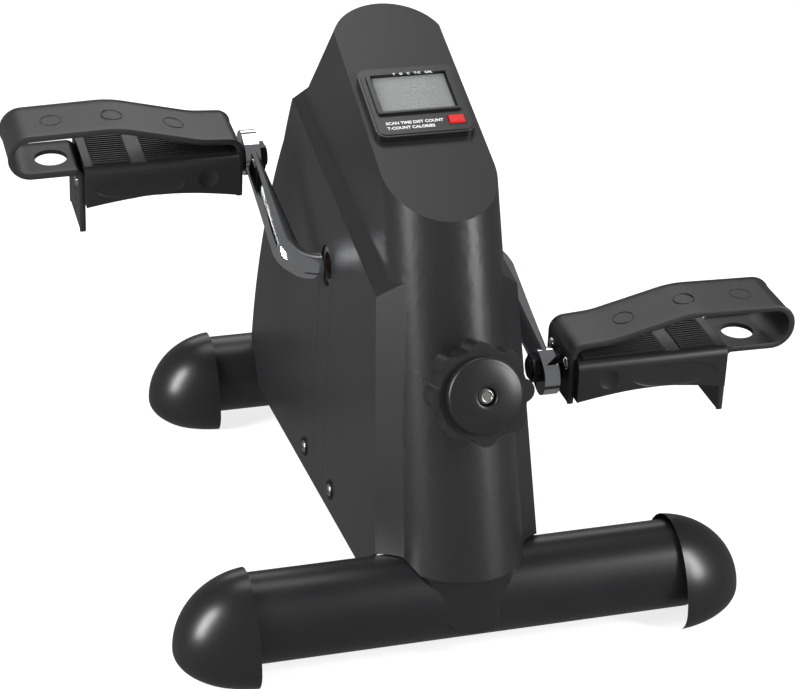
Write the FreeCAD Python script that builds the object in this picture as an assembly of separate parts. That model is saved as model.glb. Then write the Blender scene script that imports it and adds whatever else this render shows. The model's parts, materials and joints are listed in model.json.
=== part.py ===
import FreeCAD, Part
import math
import os

V = FreeCAD.Vector
os.makedirs("parts", exist_ok=True)

# ---------------------------------------------------------------- driving dimensions (mm)
# Row frame: X across (right is +X), Y from the front (user's side) to the back, Z up.
# The origin is on the floor, midway between the two foot tubes.

TUBE_R = 25.0                  # foot tubes, 50 mm steel tube
TUBE_WALL = 1.5
TUBE_Z = 28.5                  # tube axis above the floor
HALF_BASE = 164.5              # front and rear tube axes are at -/+ this
FRONT_RIM = 116.0              # half distance between the rims of the front end caps
REAR_RIM = 69.0
CAP_GRIP = 12.0                # how far a tube goes into its end cap
CAP_LONG = 46.0                # rim to tip of an end cap
CAP_HALF = 34.0                # half width of an end cap
CAP_WALL = 3.0
CAP_BELLY_Z = 14.0             # height of the widest part of a cap
CAP_TOP_Z = 57.0
CAP_BASE_SEMI = 22.0           # vertical semi-axis of the cap below its belly

CRANK_Y = -24.0
CRANK_Z = 172.0
CRANK_ARM = 84.0
CRANK_ANGLE = 33.5             # left arm above the horizontal, towards the back
ROD_R = 8.0                    # one-piece crank rod
EYE_X = 69.0                   # middle of the flattened eyes
EYE_R = 11.0
EYE_OVERHANG = 6.0             # how far the eye's rounded end lies beyond the spindle
EYE_THICK = 9.0
CRANK_CORNER_X = 60.0          # where shaft and arm would meet if the bend were sharp
CRANK_BEND_R = 18.0
NECK_BACK = 26.0               # where the round arm starts to flatten, from the eye

SHELL_WALL = 2.5
COLUMN_Z = 49.0                # lower rim of the front column
COLUMN_R = 35.5                # column radius at its rim
COLUMN_FRONT_Y = -194.0        # front of the column at its rim
COLUMN_LEAN = 0.2573           # how far the column leans back per mm of height
COLUMN_TAPER = 0.018           # how much its radius shrinks per mm of height
FACE_TIP = (-145.2, 237.5)     # (y, z) of the lower tip of the slanted face
FACE_TOP = (12.5, 314.5)       # (y, z) of its upper end
FACE_ARCH_R = 32.5
ARCH_SKEW = 0.41               # how far the arch runs back per mm below the face
ARCH_GROWTH = 0.045            # widening of the arch per mm below the face
ARCH_SPRING = 0.86             # how far below its crown the arch springs, in radii
ARCH_RUN = 420.0               # length of its straight sides, past the column's foot
FLANK_Z = 30.0                 # lower edge of the side panels
FLANK_HALF = 40.5              # half width of the side panels at FLANK_REF_Z
FLANK_REF_Z = 175.0
FLANK_DRAFT = 0.05             # widening per mm downwards
STEP_IN = 9.0                  # depth of the 45 degree step in front of a side panel
STEP_RATE = 0.86               # how far the panel's edge draws back per mm of that step
STEP_X = 33.5                  # half width where the step starts
SLOT_HALF = 13.0               # half width of the slot under the crank
CRANK_HOLE_R = 12.0
SHELL_BACK = [(12.5, 314.5), (52.0, 271.0), (88.0, 213.0), (125.0, 155.0),
              (146.0, 105.0), (153.0, 80.0), (157.0, 56.0)]
STEP_CORNER = (-134.5, 198.0)  # (y, z) of the corner of the step line
STEP_FOOT = (-171.7, 30.0)
STEP_END = (68.0, 247.0)

KNOB_ROOT = (-167.4, 152.3)    # (y, z) where the knob's axis leaves the column
KNOB_LOBE_R = 27.5
KNOB_DISC_R = 20.5
KNOB_OUT = 36.5                # knob face to column
SCREW_R = 4.0
SCREW_LONG = 70.0              # length of the screw behind the column surface

DRUM_R = 55.0
DRUM_HALF = 12.0
LEVER_PIVOT = (-104.0, 62.0)   # (y, z) of the brake lever's pin
PAD_ANGLE = 20.0               # where the brake pad meets the drum, below horizontal
PAD_GAP = 3.6                  # gap between pad and drum with the brake off

PEDAL_IN = 80.6                # inner and outer ends of the pedal body
PEDAL_OUT = 170.2
PEDAL_HALF = 26.0
PEDAL_TOP = 13.5
PEDAL_BOTTOM = -11.0
PEDAL_TILT = {"left": 10.0, "right": 5.5}     # front edge lower than the back edge
STRAP_HALF = 19.5
STRAP_THICK = 2.6
SPINDLE_R = 6.0

SPINE_HALF = 20.0
SPINE_Z = (16.0, 41.0)
UPRIGHT_THICK = 3.0
BEARING_OUT = 35.0             # outer face of the bearing housings
BUSH_R = 11.0
FIT = 0.05                     # radial clearance of a running fit

CONSOLE_HALF = 28.0
CONSOLE_LONG = 54.0
CONSOLE_MID_Y = -64.8
CONSOLE_PROUD = 4.0


# ---------------------------------------------------------------- helpers
def box(x0, x1, y0, y1, z0, z1):
    """A box from its six faces."""
    return Part.makeBox(x1 - x0, y1 - y0, z1 - z0, V(x0, y0, z0))


def rod(radius, start, end):
    """A solid cylinder between two points."""
    a, b = V(*start), V(*end)
    return Part.makeCylinder(radius, (b - a).Length, a, b - a)


def ring(outer, inner, start, end):
    """A tube between two points."""
    return rod(outer, start, end).cut(rod(inner, start, end))


def prism_x(points, x0, x1):
    """A solid with a (y, z) outline between two x planes."""
    wire = Part.makePolygon([V(x0, y, z) for y, z in points + [points[0]]])
    return Part.Face(wire).extrude(V(x1 - x0, 0, 0))


def join(shapes):
    """One clean solid from several that touch."""
    return shapes[0].multiFuse(shapes[1:]).removeSplitter()


def turn_x(shape, degrees, y, z):
    """A copy turned about an X axis through (y, z)."""
    out = shape.copy()
    out.rotate(V(0, y, z), V(1, 0, 0), degrees)
    return out


def mirror_x(shape):
    """The mirror image across the middle plane."""
    return shape.mirror(V(0, 0, 0), V(1, 0, 0))


def stretched_ball(cx, cy, cz, ax, ay, az):
    """An ellipsoid."""
    grow = FreeCAD.Matrix()
    grow.scale(ax, ay, az)
    shape = Part.makeSphere(1.0).transformGeometry(grow)
    shape.translate(V(cx, cy, cz))
    return shape


def try_fillet(shape, radius, pick):
    """Round the edges that pick accepts, or leave the shape as it is."""
    edges = [e for e in shape.Edges if pick(e)]
    if not edges:
        return shape
    try:
        out = shape.makeFillet(radius, edges)
        return out if out.isValid() and out.Volume > 0 else shape
    except Exception:
        return shape


def save(name, shape):
    """Write one named piece."""
    shape.exportStep("parts/" + name + ".step")
    print(name, len(shape.Solids), round(shape.Volume / 1000.0, 2), "cm3",
          "valid" if shape.isValid() else "NOT VALID")


# ---------------------------------------------------------------- feet
def foot_tube(y, half):
    """A steel foot tube, open at both ends."""
    return ring(TUBE_R, TUBE_R - TUBE_WALL, (-half, y, TUBE_Z), (half, y, TUBE_Z))


def cap_blank(inset):
    """The domed body of a right-hand end cap at y = 0, drawn in by inset."""
    top = stretched_ball(0, 0, CAP_BELLY_Z, CAP_LONG - inset, CAP_HALF - inset,
                         CAP_TOP_Z - CAP_BELLY_Z - inset)
    low = stretched_ball(0, 0, CAP_BELLY_Z, CAP_LONG - inset, CAP_HALF - inset,
                         CAP_BASE_SEMI)
    upper = top.common(box(0, 100, -60, 60, CAP_BELLY_Z, 100))
    lower = low.common(box(0, 100, -60, 60, inset, CAP_BELLY_Z))
    return upper.fuse(lower).removeSplitter()


def end_cap(rim_x, y, side):
    """A moulded end cap: domed shell, flat sole, socket for the tube."""
    hollow = cap_blank(CAP_WALL).common(box(CAP_GRIP, 100, -60, 60, 0, 100))
    socket = Part.makeCylinder(TUBE_R + 0.01, CAP_GRIP, V(0, 0, TUBE_Z), V(1, 0, 0))
    shell = cap_blank(0.0).cut(hollow).cut(socket)
    shell = shell.cut(Part.makeCylinder(TUBE_R - 4.0, CAP_GRIP + 4.0, V(0, 0, TUBE_Z), V(1, 0, 0)))
    shell.translate(V(rim_x, y, 0))
    return mirror_x(shell) if side < 0 else shell


FRONT_END = FRONT_RIM + CAP_GRIP
REAR_END = REAR_RIM + CAP_GRIP
save("front_tube", foot_tube(-HALF_BASE, FRONT_END))
save("rear_tube", foot_tube(HALF_BASE, REAR_END))
save("front_left_end_cap", end_cap(FRONT_RIM, -HALF_BASE, -1))
save("front_right_end_cap", end_cap(FRONT_RIM, -HALF_BASE, 1))
save("rear_left_end_cap", end_cap(REAR_RIM, HALF_BASE, -1))
save("rear_right_end_cap", end_cap(REAR_RIM, HALF_BASE, 1))


# ---------------------------------------------------------------- steel frame
def frame_spine():
    """Box-section bar welded between the two foot tubes."""
    y = HALF_BASE - 15.0
    z0, z1 = SPINE_Z
    wall = 2.0
    bar = box(-SPINE_HALF, SPINE_HALF, -y, y, z0, z1)
    bar = bar.cut(box(-SPINE_HALF + wall, SPINE_HALF - wall, -y, y, z0 + wall, z1 - wall))
    for side in (-1, 1):
        bar = bar.cut(rod(TUBE_R, (-60, side * HALF_BASE, TUBE_Z), (60, side * HALF_BASE, TUBE_Z)))
    return bar


def upright(side):
    """Side plate that carries one crank bearing."""
    x0, x1 = sorted((side * SPINE_HALF, side * (SPINE_HALF + UPRIGHT_THICK)))
    foot, head = 22.0, 22.0
    plate = prism_x([(CRANK_Y - foot, SPINE_Z[0] + 2), (CRANK_Y + foot, SPINE_Z[0] + 2),
                     (CRANK_Y + foot, SPINE_Z[1] + 8), (CRANK_Y + head, CRANK_Z + 6),
                     (CRANK_Y + head - 8, CRANK_Z + 24), (CRANK_Y - head + 8, CRANK_Z + 24),
                     (CRANK_Y - head, CRANK_Z + 6), (CRANK_Y - foot, SPINE_Z[1] + 8)], x0, x1)
    plate = plate.cut(rod(18.0, (x0 - 1, CRANK_Y, 90), (x1 + 1, CRANK_Y, 90)))
    return plate.cut(rod(BUSH_R, (x0 - 1, CRANK_Y, CRANK_Z), (x1 + 1, CRANK_Y, CRANK_Z)))


RIVET_CIRCLE = 16.8


def bearing_housing(side):
    """Flanged ring bolted outside an upright; the bush sits in it."""
    x0 = side * (SPINE_HALF + UPRIGHT_THICK)
    body = ring(14.0, BUSH_R, (x0, CRANK_Y, CRANK_Z), (side * BEARING_OUT, CRANK_Y, CRANK_Z))
    flange = ring(19.5, BUSH_R, (x0, CRANK_Y, CRANK_Z), (x0 + side * 3.0, CRANK_Y, CRANK_Z))
    return join([body, flange])


def crank_bush(side):
    """Sintered bush between the housing and the crank rod."""
    return ring(BUSH_R, ROD_R + FIT, (side * SPINE_HALF, CRANK_Y, CRANK_Z),
                (side * BEARING_OUT, CRANK_Y, CRANK_Z))


def bearing_rivets():
    """Rivet heads that hold both bearing housings to the uprights."""
    heads = []
    for side in (-1, 1):
        x0 = side * (SPINE_HALF + UPRIGHT_THICK + 3.0)
        for k in range(4):
            a = math.radians(45 + 90 * k)
            y = CRANK_Y + RIVET_CIRCLE * math.cos(a)
            z = CRANK_Z + RIVET_CIRCLE * math.sin(a)
            heads.append(rod(2.4, (x0, y, z), (x0 + side * 1.8, y, z)))
    return Part.makeCompound(heads)


def lean_point(along, down=0.0):
    """(y, z) of a point measured in from the column along the knob's axis, then down."""
    n = math.hypot(1.0, COLUMN_LEAN)
    iy, iz = 1.0 / n, -COLUMN_LEAN / n
    dy, dz = -COLUMN_LEAN / n, -1.0 / n
    return KNOB_ROOT[0] + iy * along + dy * down, KNOB_ROOT[1] + iz * along + dz * down


def knob_axis_rod(radius, start, end):
    """A cylinder on the knob's axis, start and end measured in from the column."""
    return rod(radius, (0.0,) + lean_point(start), (0.0,) + lean_point(end))


def screw_bracket():
    """Leaning plate on the front tube that holds the tension screw."""
    outline = [lean_point(8, -14), lean_point(11, -14), lean_point(11, 101), lean_point(8, 101)]
    plate = prism_x(outline, -15, 15)
    plate = plate.cut(rod(TUBE_R, (-60, -HALF_BASE, TUBE_Z), (60, -HALF_BASE, TUBE_Z)))
    return plate.cut(knob_axis_rod(SCREW_R + FIT, 0, 20))


def front_saddle():
    """Pressed skirt welded round the front tube under the column, cut to a V."""
    r_out, wall = 34.3, 3.0
    cy = COLUMN_FRONT_Y + 1.6 + r_out
    z_low, z_high = 17.0, COLUMN_Z
    skirt = Part.makeCylinder(r_out, z_high - z_low, V(0, cy, z_low))
    skirt = skirt.cut(Part.makeCylinder(r_out - wall, z_high - z_low, V(0, cy, z_low)))
    skirt = skirt.common(box(-60, 60, cy - 60, cy, 0, 100))
    wedge = Part.makePolygon([V(-10, -300, z_low), V(10, -300, z_low), V(r_out + 0.5, -300, 47.0),
                              V(r_out + 0.5, -300, z_high), V(-r_out - 0.5, -300, z_high),
                              V(-r_out - 0.5, -300, 47.0), V(-10, -300, z_low)])
    skirt = skirt.common(Part.Face(wedge).extrude(V(0, 300, 0)))
    top = Part.makeCylinder(r_out - 2.2, 1.5, V(0, cy, z_high))
    top = top.cut(Part.makeCylinder(r_out - wall, 1.5, V(0, cy, z_high)))
    top = top.common(box(-60, 60, cy - 60, cy, 0, 100))
    skirt = join([skirt, top])
    return skirt.cut(rod(TUBE_R, (-60, -HALF_BASE, TUBE_Z), (60, -HALF_BASE, TUBE_Z)))


def lever_bracket():
    """Two lugs on the spine that hold the brake lever's pin."""
    y, z = LEVER_PIVOT
    lugs = []
    for side in (-1, 1):
        x0, x1 = sorted((side * 9.0, side * 12.0))
        lug = prism_x([(y - 12, SPINE_Z[1]), (y + 12, SPINE_Z[1]), (y + 7, z + 7), (y - 7, z + 7)],
                      x0, x1)
        lugs.append(lug.cut(rod(3.0, (x0 - 1, y, z), (x1 + 1, y, z))))
    return Part.makeCompound(lugs)


save("frame_spine", frame_spine())
save("left_upright", upright(-1))
save("right_upright", upright(1))
save("left_bearing_housing", bearing_housing(-1))
save("right_bearing_housing", bearing_housing(1))
save("left_crank_bush", crank_bush(-1))
save("right_crank_bush", crank_bush(1))
save("bearing_rivets", bearing_rivets())
save("screw_bracket", screw_bracket())
save("front_saddle", front_saddle())
save("lever_bracket", lever_bracket())
save("lever_pin", rod(3.0, (-14, LEVER_PIVOT[0], LEVER_PIVOT[1]), (14, LEVER_PIVOT[0], LEVER_PIVOT[1])))


# ---------------------------------------------------------------- plastic housing
FACE_SLOPE = (FACE_TOP[1] - FACE_TIP[1]) / (FACE_TOP[0] - FACE_TIP[0])
FACE_TILT = math.degrees(math.atan(FACE_SLOPE))


def face_point(along, lift=0.0):
    """(y, z) on the slanted face: distance up the face from its tip, and height above it."""
    a = math.radians(FACE_TILT)
    return (FACE_TIP[0] + along * math.cos(a) - lift * math.sin(a),
            FACE_TIP[1] + along * math.sin(a) + lift * math.cos(a))


FACE_LENGTH = math.hypot(FACE_TOP[0] - FACE_TIP[0], FACE_TOP[1] - FACE_TIP[1])
CONSOLE_U = (CONSOLE_MID_Y - FACE_TIP[0]) / math.cos(math.radians(FACE_TILT))


def column_section(z, inset):
    """Plan outline of the column at height z: half-round front, straight sides."""
    r = COLUMN_R - COLUMN_TAPER * (z - COLUMN_Z) - inset
    front = COLUMN_FRONT_Y + COLUMN_LEAN * (z - COLUMN_Z) + inset
    cy = front + r
    back = 170.0
    arc = Part.Arc(V(-r, cy, z), V(0, front, z), V(r, cy, z)).toShape()
    right = Part.makeLine(V(r, cy, z), V(r, back, z))
    rear = Part.makeLine(V(r, back, z), V(-r, back, z))
    left = Part.makeLine(V(-r, back, z), V(-r, cy, z))
    return Part.Wire([arc, right, rear, left])


def column_body(inset):
    """The tapering, leaning column as a tall solid."""
    return Part.makeLoft([column_section(COLUMN_Z + 0.1 - 2.0 * inset, inset), column_section(330.0, inset)],
                         True, True)


def arch_section(depth, inset):
    """Arch outline seen square to the slanted face, at a depth below it."""
    a = math.radians(FACE_TILT)
    r = FACE_ARCH_R + ARCH_GROWTH * depth - inset
    skew = ARCH_SKEW * depth
    up = V(0, math.cos(a), math.sin(a))
    down = V(0, math.sin(a), -math.cos(a))
    top = V(0, *face_point(FACE_LENGTH - inset)) + down * depth + up * skew
    mid = top - up * (r * ARCH_SPRING)
    half = V(r, 0, 0)
    foot = mid - up * ARCH_RUN
    arc = Part.Arc(mid - half, top, mid + half).toShape()
    right = Part.makeLine(mid + half, foot + half)
    base = Part.makeLine(foot + half, foot - half)
    left = Part.makeLine(foot - half, mid - half)
    return Part.Wire([arc, right, base, left])


def back_outline(inset):
    """Curved back edge of the shell as joined arcs from top to bottom."""
    pts = [V(0, y - inset, z - 0.8 * inset) for y, z in SHELL_BACK]
    return [Part.Arc(pts[k], pts[k + 1], pts[k + 2]).toShape() for k in (0, 2, 4)], pts


def profile_body(inset, front_y, half):
    """Side profile between an upright front line and the curved back, as a slab."""
    arcs, pts = back_outline(inset)
    low = FLANK_Z if inset == 0.0 else FLANK_Z - 5.0
    heel = V(0, pts[-1].y - 25.0, low)
    foot = V(0, front_y, low)
    head = V(0, front_y, 330.0)
    brow = V(0, pts[0].y, 330.0)
    edges = arcs + [Part.makeLine(pts[-1], heel), Part.makeLine(heel, foot),
                    Part.makeLine(foot, head), Part.makeLine(head, brow),
                    Part.makeLine(brow, pts[0])]
    face = Part.Face(Part.Wire(Part.__sortEdges__(edges)))
    face.translate(V(-half, 0, 0))
    return face.extrude(V(2 * half, 0, 0))


def step_section(x, out):
    """Outline of a side panel in the plane x, where the 45 degree step has come out this far."""
    lean = (STEP_CORNER[0] - STEP_FOOT[0]) / (STEP_CORNER[1] - STEP_FOOT[1])
    run = math.hypot(STEP_END[0] - STEP_CORNER[0], STEP_END[1] - STEP_CORNER[1])
    uy, uz = (STEP_END[0] - STEP_CORNER[0]) / run, (STEP_END[1] - STEP_CORNER[1]) / run
    corner = (STEP_CORNER[0] + STEP_RATE * out, STEP_CORNER[1] - STEP_RATE * out)
    low, far = -10.0, 420.0
    points = [(corner[0] - lean * (corner[1] - low), low), corner,
              (corner[0] + far * uy, corner[1] + far * uz), (corner[0] + far * uy, low)]
    return Part.makePolygon([V(x, y, z) for y, z in points + [points[0]]])


def flank_body(inset):
    """The raised side panels, one each side, drafted and stepped at their front edge."""
    slab = profile_body(inset, STEP_FOOT[0] - 20.0, 60.0)
    half_low = FLANK_HALF + FLANK_DRAFT * FLANK_REF_Z - inset
    half_high = half_low - FLANK_DRAFT * 340.0
    draft = Part.makePolygon([V(x, -300, z) for x, z in
                              [(-half_low, 0), (half_low, 0), (half_high, 340),
                               (-half_high, 340), (-half_low, 0)]])
    slab = slab.common(Part.Face(draft).extrude(V(0, 600, 0)))
    step_x, reach = STEP_X - inset, 30.0
    panels = []
    for side in (-1, 1):
        loft = Part.makeLoft([step_section(side * (step_x - STEP_IN), -STEP_IN),
                              step_section(side * (step_x + reach), reach)], True, True)
        panels.append(slab.common(loft))
    return panels


def shell_solid(inset):
    """The whole outer form of the housing, drawn in by inset."""
    arch = Part.makeLoft([arch_section(-30.0, inset), arch_section(340.0, inset)], True, True)
    lower, upper = face_point(-120, -inset), face_point(FACE_LENGTH + 320, -inset)
    below = prism_x([lower, upper, (upper[0], -50.0), (lower[0], -50.0)], -90, 90)
    core = column_body(inset).common(arch).common(profile_body(inset, -320.0, 90.0))
    return join([core] + flank_body(inset)).common(below)


TUBE_CLEAR = 0.6
SLOT_TOP = CRANK_Z - 5.0
COVER_GAP = 0.25
SCREW_STEP = 31.0              # slot cover screws to each side of the crank plane
COVER_SCREW_Z = 44.0


def crank_hole(radius):
    """Cylinder through both side panels on the crank's axis."""
    return rod(radius, (-90, CRANK_Y, CRANK_Z), (90, CRANK_Y, CRANK_Z))


def face_block(x0, x1, u0, u1, low, high):
    """A block on the slanted face; u runs up the face from the console's middle."""
    corners = [face_point(CONSOLE_U + u, v) for u, v in ((u0, low), (u1, low), (u1, high), (u0, high))]
    return prism_x(corners, x0, x1)


def tube_room(y, clear):
    """Clearance cylinder round a foot tube."""
    return rod(TUBE_R + clear, (-90, y, TUBE_Z), (90, y, TUBE_Z))


outer_shell = shell_solid(0.0)
inner_shell = shell_solid(SHELL_WALL)
whole_shell = outer_shell.cut(inner_shell)
whole_shell = whole_shell.cut(tube_room(-HALF_BASE, TUBE_CLEAR)).cut(tube_room(HALF_BASE, TUBE_CLEAR))
slot = box(-90, 90, CRANK_Y - SLOT_HALF, CRANK_Y + SLOT_HALF, -10, SLOT_TOP)


def cover_screw_holes(radius):
    """Cylinders through both panels at the slot cover screws."""
    return [rod(radius, (-90, CRANK_Y + dy, COVER_SCREW_Z), (90, CRANK_Y + dy, COVER_SCREW_Z))
            for dy in (-SCREW_STEP, SCREW_STEP)]


def main_housing():
    """One-piece plastic housing, open below, slotted so that it drops over the crank."""
    shape = whole_shell.cut(slot).cut(crank_hole(CRANK_HOLE_R))
    wide, long = CONSOLE_HALF - 3.0, CONSOLE_LONG / 2 - 3.0
    shape = shape.cut(face_block(-wide, wide, -long, long, -12.0, 12.0))
    shape = shape.cut(knob_axis_rod(6.5, -12, 12))
    for hole in cover_screw_holes(2.2):
        shape = shape.cut(hole)
    return shape


def slot_cover(side):
    """Strip that closes the slot under the crank, with a backing plate and two screw ears."""
    half = SLOT_HALF - COVER_GAP
    keep = box(0, 90, -200, 200, -10, 400) if side > 0 else box(-90, 0, -200, 200, -10, 400)
    strip = whole_shell.common(box(-90, 90, CRANK_Y - half, CRANK_Y + half, -10, SLOT_TOP - COVER_GAP))
    backing_zone = join([box(-90, 90, CRANK_Y - 19, CRANK_Y + 19, FLANK_Z, SLOT_TOP - 14),
                         box(-90, 90, CRANK_Y - 40, CRANK_Y + 40, FLANK_Z, 58)])
    deep = shell_solid(SHELL_WALL + 2.0)
    backing = inner_shell.cut(deep).common(backing_zone)
    shape = join([strip.common(keep), backing.common(keep)]).cut(crank_hole(CRANK_HOLE_R))
    for hole in cover_screw_holes(2.2):
        shape = shape.cut(hole)
    return shape


def cover_screws():
    """Four pan-head screws through the panels and ears into the cross straps."""
    screws = []
    half = FLANK_HALF + FLANK_DRAFT * (FLANK_REF_Z - COVER_SCREW_Z)
    for side in (-1, 1):
        for dy in (-SCREW_STEP, SCREW_STEP):
            y, z = CRANK_Y + dy, COVER_SCREW_Z
            shank = rod(2.0, (side * (half - 14.0), y, z), (side * (half + 0.2), y, z))
            head = rod(3.6, (side * (half + 0.2), y, z), (side * (half + 1.8), y, z))
            screws.append(join([shank, head]))
    return Part.makeCompound(screws)


def cross_straps():
    """Two flat straps across the spine that the housing is screwed to."""
    half = FLANK_HALF + FLANK_DRAFT * (FLANK_REF_Z - COVER_SCREW_Z) - SHELL_WALL - 2.4
    straps = []
    for dy in (-SCREW_STEP, SCREW_STEP):
        y = CRANK_Y + dy
        bar = box(-half, half, y - 6, y + 6, SPINE_Z[1], SPINE_Z[1] + 7)
        for side in (-1, 1):
            bar = bar.cut(rod(2.0, (side * (half - 12), y, COVER_SCREW_Z), (side * 90, y, COVER_SCREW_Z)))
        straps.append(bar)
    return Part.makeCompound(straps)


save("main_housing", main_housing())
save("left_slot_cover", slot_cover(-1))
save("right_slot_cover", slot_cover(1))
save("slot_cover_screws", cover_screws())
save("cross_straps", cross_straps())


# ---------------------------------------------------------------- console
WINDOW = (24.0, 16.0, 5.5)     # half width, half length and centre of the raised frame
GLASS = (20.5, 13.5)
BUTTON = (18.5, -18.0, 4.4, 3.0)   # x, along, half width, half length


def console_bezel():
    """Moulded bezel: outer plate, raised frame round the window, rear tray."""
    half = CONSOLE_LONG / 2
    plate = face_block(-CONSOLE_HALF, CONSOLE_HALF, -half, half, 0.0, CONSOLE_PROUD)
    normal = V(0, -math.sin(math.radians(FACE_TILT)), math.cos(math.radians(FACE_TILT)))
    plate = try_fillet(plate, 5.0, lambda e: e.Length < CONSOLE_PROUD + 0.1
                       and abs(abs(e.tangentAt(e.FirstParameter).dot(normal)) - 1.0) < 1e-3)
    w, h, mid = WINDOW
    frame = face_block(-w, w, mid - h, mid + h, CONSOLE_PROUD, CONSOLE_PROUD + 1.6)
    tray = face_block(-CONSOLE_HALF + 3.4, CONSOLE_HALF - 3.4, -half + 3.4, half - 3.4, -9.0, 0.0)
    tray = tray.cut(face_block(-CONSOLE_HALF + 5, CONSOLE_HALF - 5, -half + 5, half - 5, -9.0, 0.0))
    shape = join([plate, frame, tray])
    shape = shape.cut(face_block(-GLASS[0], GLASS[0], mid - GLASS[1], mid + GLASS[1], -1.0, 9.0))
    bx, bu, bw, bh = BUTTON
    gap = 0.35
    return shape.cut(face_block(bx - bw - gap, bx + bw + gap, bu - bh - gap, bu + bh + gap, -1.0, 9.0))


save("console_bezel", console_bezel())
GU = WINDOW[2]
save("lcd_lens", face_block(-GLASS[0], GLASS[0], GU - GLASS[1], GU + GLASS[1], CONSOLE_PROUD - 0.6,
                            CONSOLE_PROUD + 0.6))
save("lcd_panel", face_block(-GLASS[0], GLASS[0], GU - GLASS[1], GU + GLASS[1], 0.0, CONSOLE_PROUD - 1.0))
TRAY_WALL = 5.0                # from the bezel's edge to the inside of its rear tray
TRAY_X, TRAY_U = CONSOLE_HALF - TRAY_WALL, CONSOLE_LONG / 2 - TRAY_WALL
BOARD_TOP = -2.0
BOARD_LOW = -3.6
CELL_R, CELL_HALF = 5.25, 22.25    # one AAA cell
CELL_U, CELL_LIFT = -4.0, BOARD_LOW - 0.4 - 5.25


def face_rod(radius, x0, x1, u, lift):
    """A cylinder along X at a place on the slanted face."""
    y, z = face_point(CONSOLE_U + u, lift)
    return rod(radius, (x0, y, z), (x1, y, z))


def battery_holder():
    """Trough under the board that the cell clips into."""
    wall = 1.4
    block = face_block(-TRAY_X, TRAY_X, CELL_U - CELL_R - wall, CELL_U + CELL_R + wall,
                       CELL_LIFT - CELL_R - wall, BOARD_LOW)
    room = face_block(-CELL_HALF, CELL_HALF, CELL_U - CELL_R, CELL_U + CELL_R, CELL_LIFT, BOARD_LOW)
    return block.cut(join([room, face_rod(CELL_R, -CELL_HALF, CELL_HALF, CELL_U, CELL_LIFT)]))


save("console_board", face_block(-TRAY_X, TRAY_X, -TRAY_U, TRAY_U, BOARD_LOW, BOARD_TOP))
save("battery_holder", battery_holder())
save("battery", face_rod(CELL_R, -CELL_HALF, CELL_HALF, CELL_U, CELL_LIFT))
bx, bu, bw, bh = BUTTON
save("reset_button", face_block(bx - bw, bx + bw, bu - bh, bu + bh, -0.9, CONSOLE_PROUD + 1.5))


# ---------------------------------------------------------------- crank and resistance drum
def eye_place(side):
    """(x, y, z) of the middle of one pedal eye; side -1 is left."""
    a = math.radians(CRANK_ANGLE)
    reach = -side * CRANK_ARM
    return side * EYE_X, CRANK_Y + reach * math.cos(a), CRANK_Z + reach * math.sin(a)


def crank_half(side):
    """Half of the one-piece crank in the plane of its arms: shaft, bend, arm, flattened eye."""
    corner = V(side * CRANK_CORNER_X, 0, 0)
    eye = V(side * EYE_X, 0, CRANK_ARM)
    arm = (eye - corner).normalize()
    shaft = V(side, 0, 0)
    turn = shaft.getAngle(arm)
    back = CRANK_BEND_R * math.tan(turn / 2)
    start, end = corner - shaft * back, corner + arm * back
    pivot = start + V(0, 0, CRANK_BEND_R)
    section = Part.Face(Part.Wire(Part.makeCircle(ROD_R, start, shaft)))
    bend = section.revolve(pivot, V(0, -side, 0), math.degrees(turn))
    straight = Part.makeCylinder(ROD_R, side * start.x, V(0, 0, 0), shaft)
    neck = eye - arm * NECK_BACK
    lever = Part.makeCylinder(ROD_R, (neck - end).Length, end, arm)
    tip = eye - arm * (EYE_R - 1.0)
    end_eye = eye + arm * EYE_OVERHANG
    oval = Part.Ellipse(V(0, 0, 0), EYE_R - 0.3, EYE_THICK / 2 - 1.2).toShape()
    spread = FreeCAD.Placement(tip, FreeCAD.Rotation(V(0, 1, 0), V(1, 0, 0), arm, "ZXY"))
    oval.transformShape(spread.toMatrix())
    flat = Part.makeLoft([Part.Wire(Part.makeCircle(ROD_R, neck, arm, 0, 360)), Part.Wire(oval)], True)
    eye_disc = Part.makeCylinder(EYE_R, EYE_THICK, V(side * EYE_X - EYE_THICK / 2, 0, end_eye.z), V(1, 0, 0))
    cheek = box(side * EYE_X - EYE_THICK / 2, side * EYE_X + EYE_THICK / 2, -EYE_R, EYE_R, CRANK_ARM, end_eye.z)
    near_disc = Part.makeCylinder(EYE_R, EYE_THICK, V(side * EYE_X - EYE_THICK / 2, 0, CRANK_ARM), V(1, 0, 0))
    paddle = Part.Face(Part.Wire(oval)).extrude(eye - tip)
    shape = join([straight, bend, lever, flat, paddle, near_disc, cheek, eye_disc])
    return shape.cut(Part.makeCylinder(SPINDLE_R, 40, V(side * EYE_X - 20, 0, CRANK_ARM), V(1, 0, 0)))


def crank_rod():
    """One-piece bent crank with both eyes, turned to its resting angle."""
    left = crank_half(-1)
    right = crank_half(1)
    right.rotate(V(0, 0, 0), V(1, 0, 0), 180)
    shape = left.fuse(right).removeSplitter()
    shape.rotate(V(0, 0, 0), V(1, 0, 0), CRANK_ANGLE - 90.0)
    shape.translate(V(0, CRANK_Y, CRANK_Z))
    return shape


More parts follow.
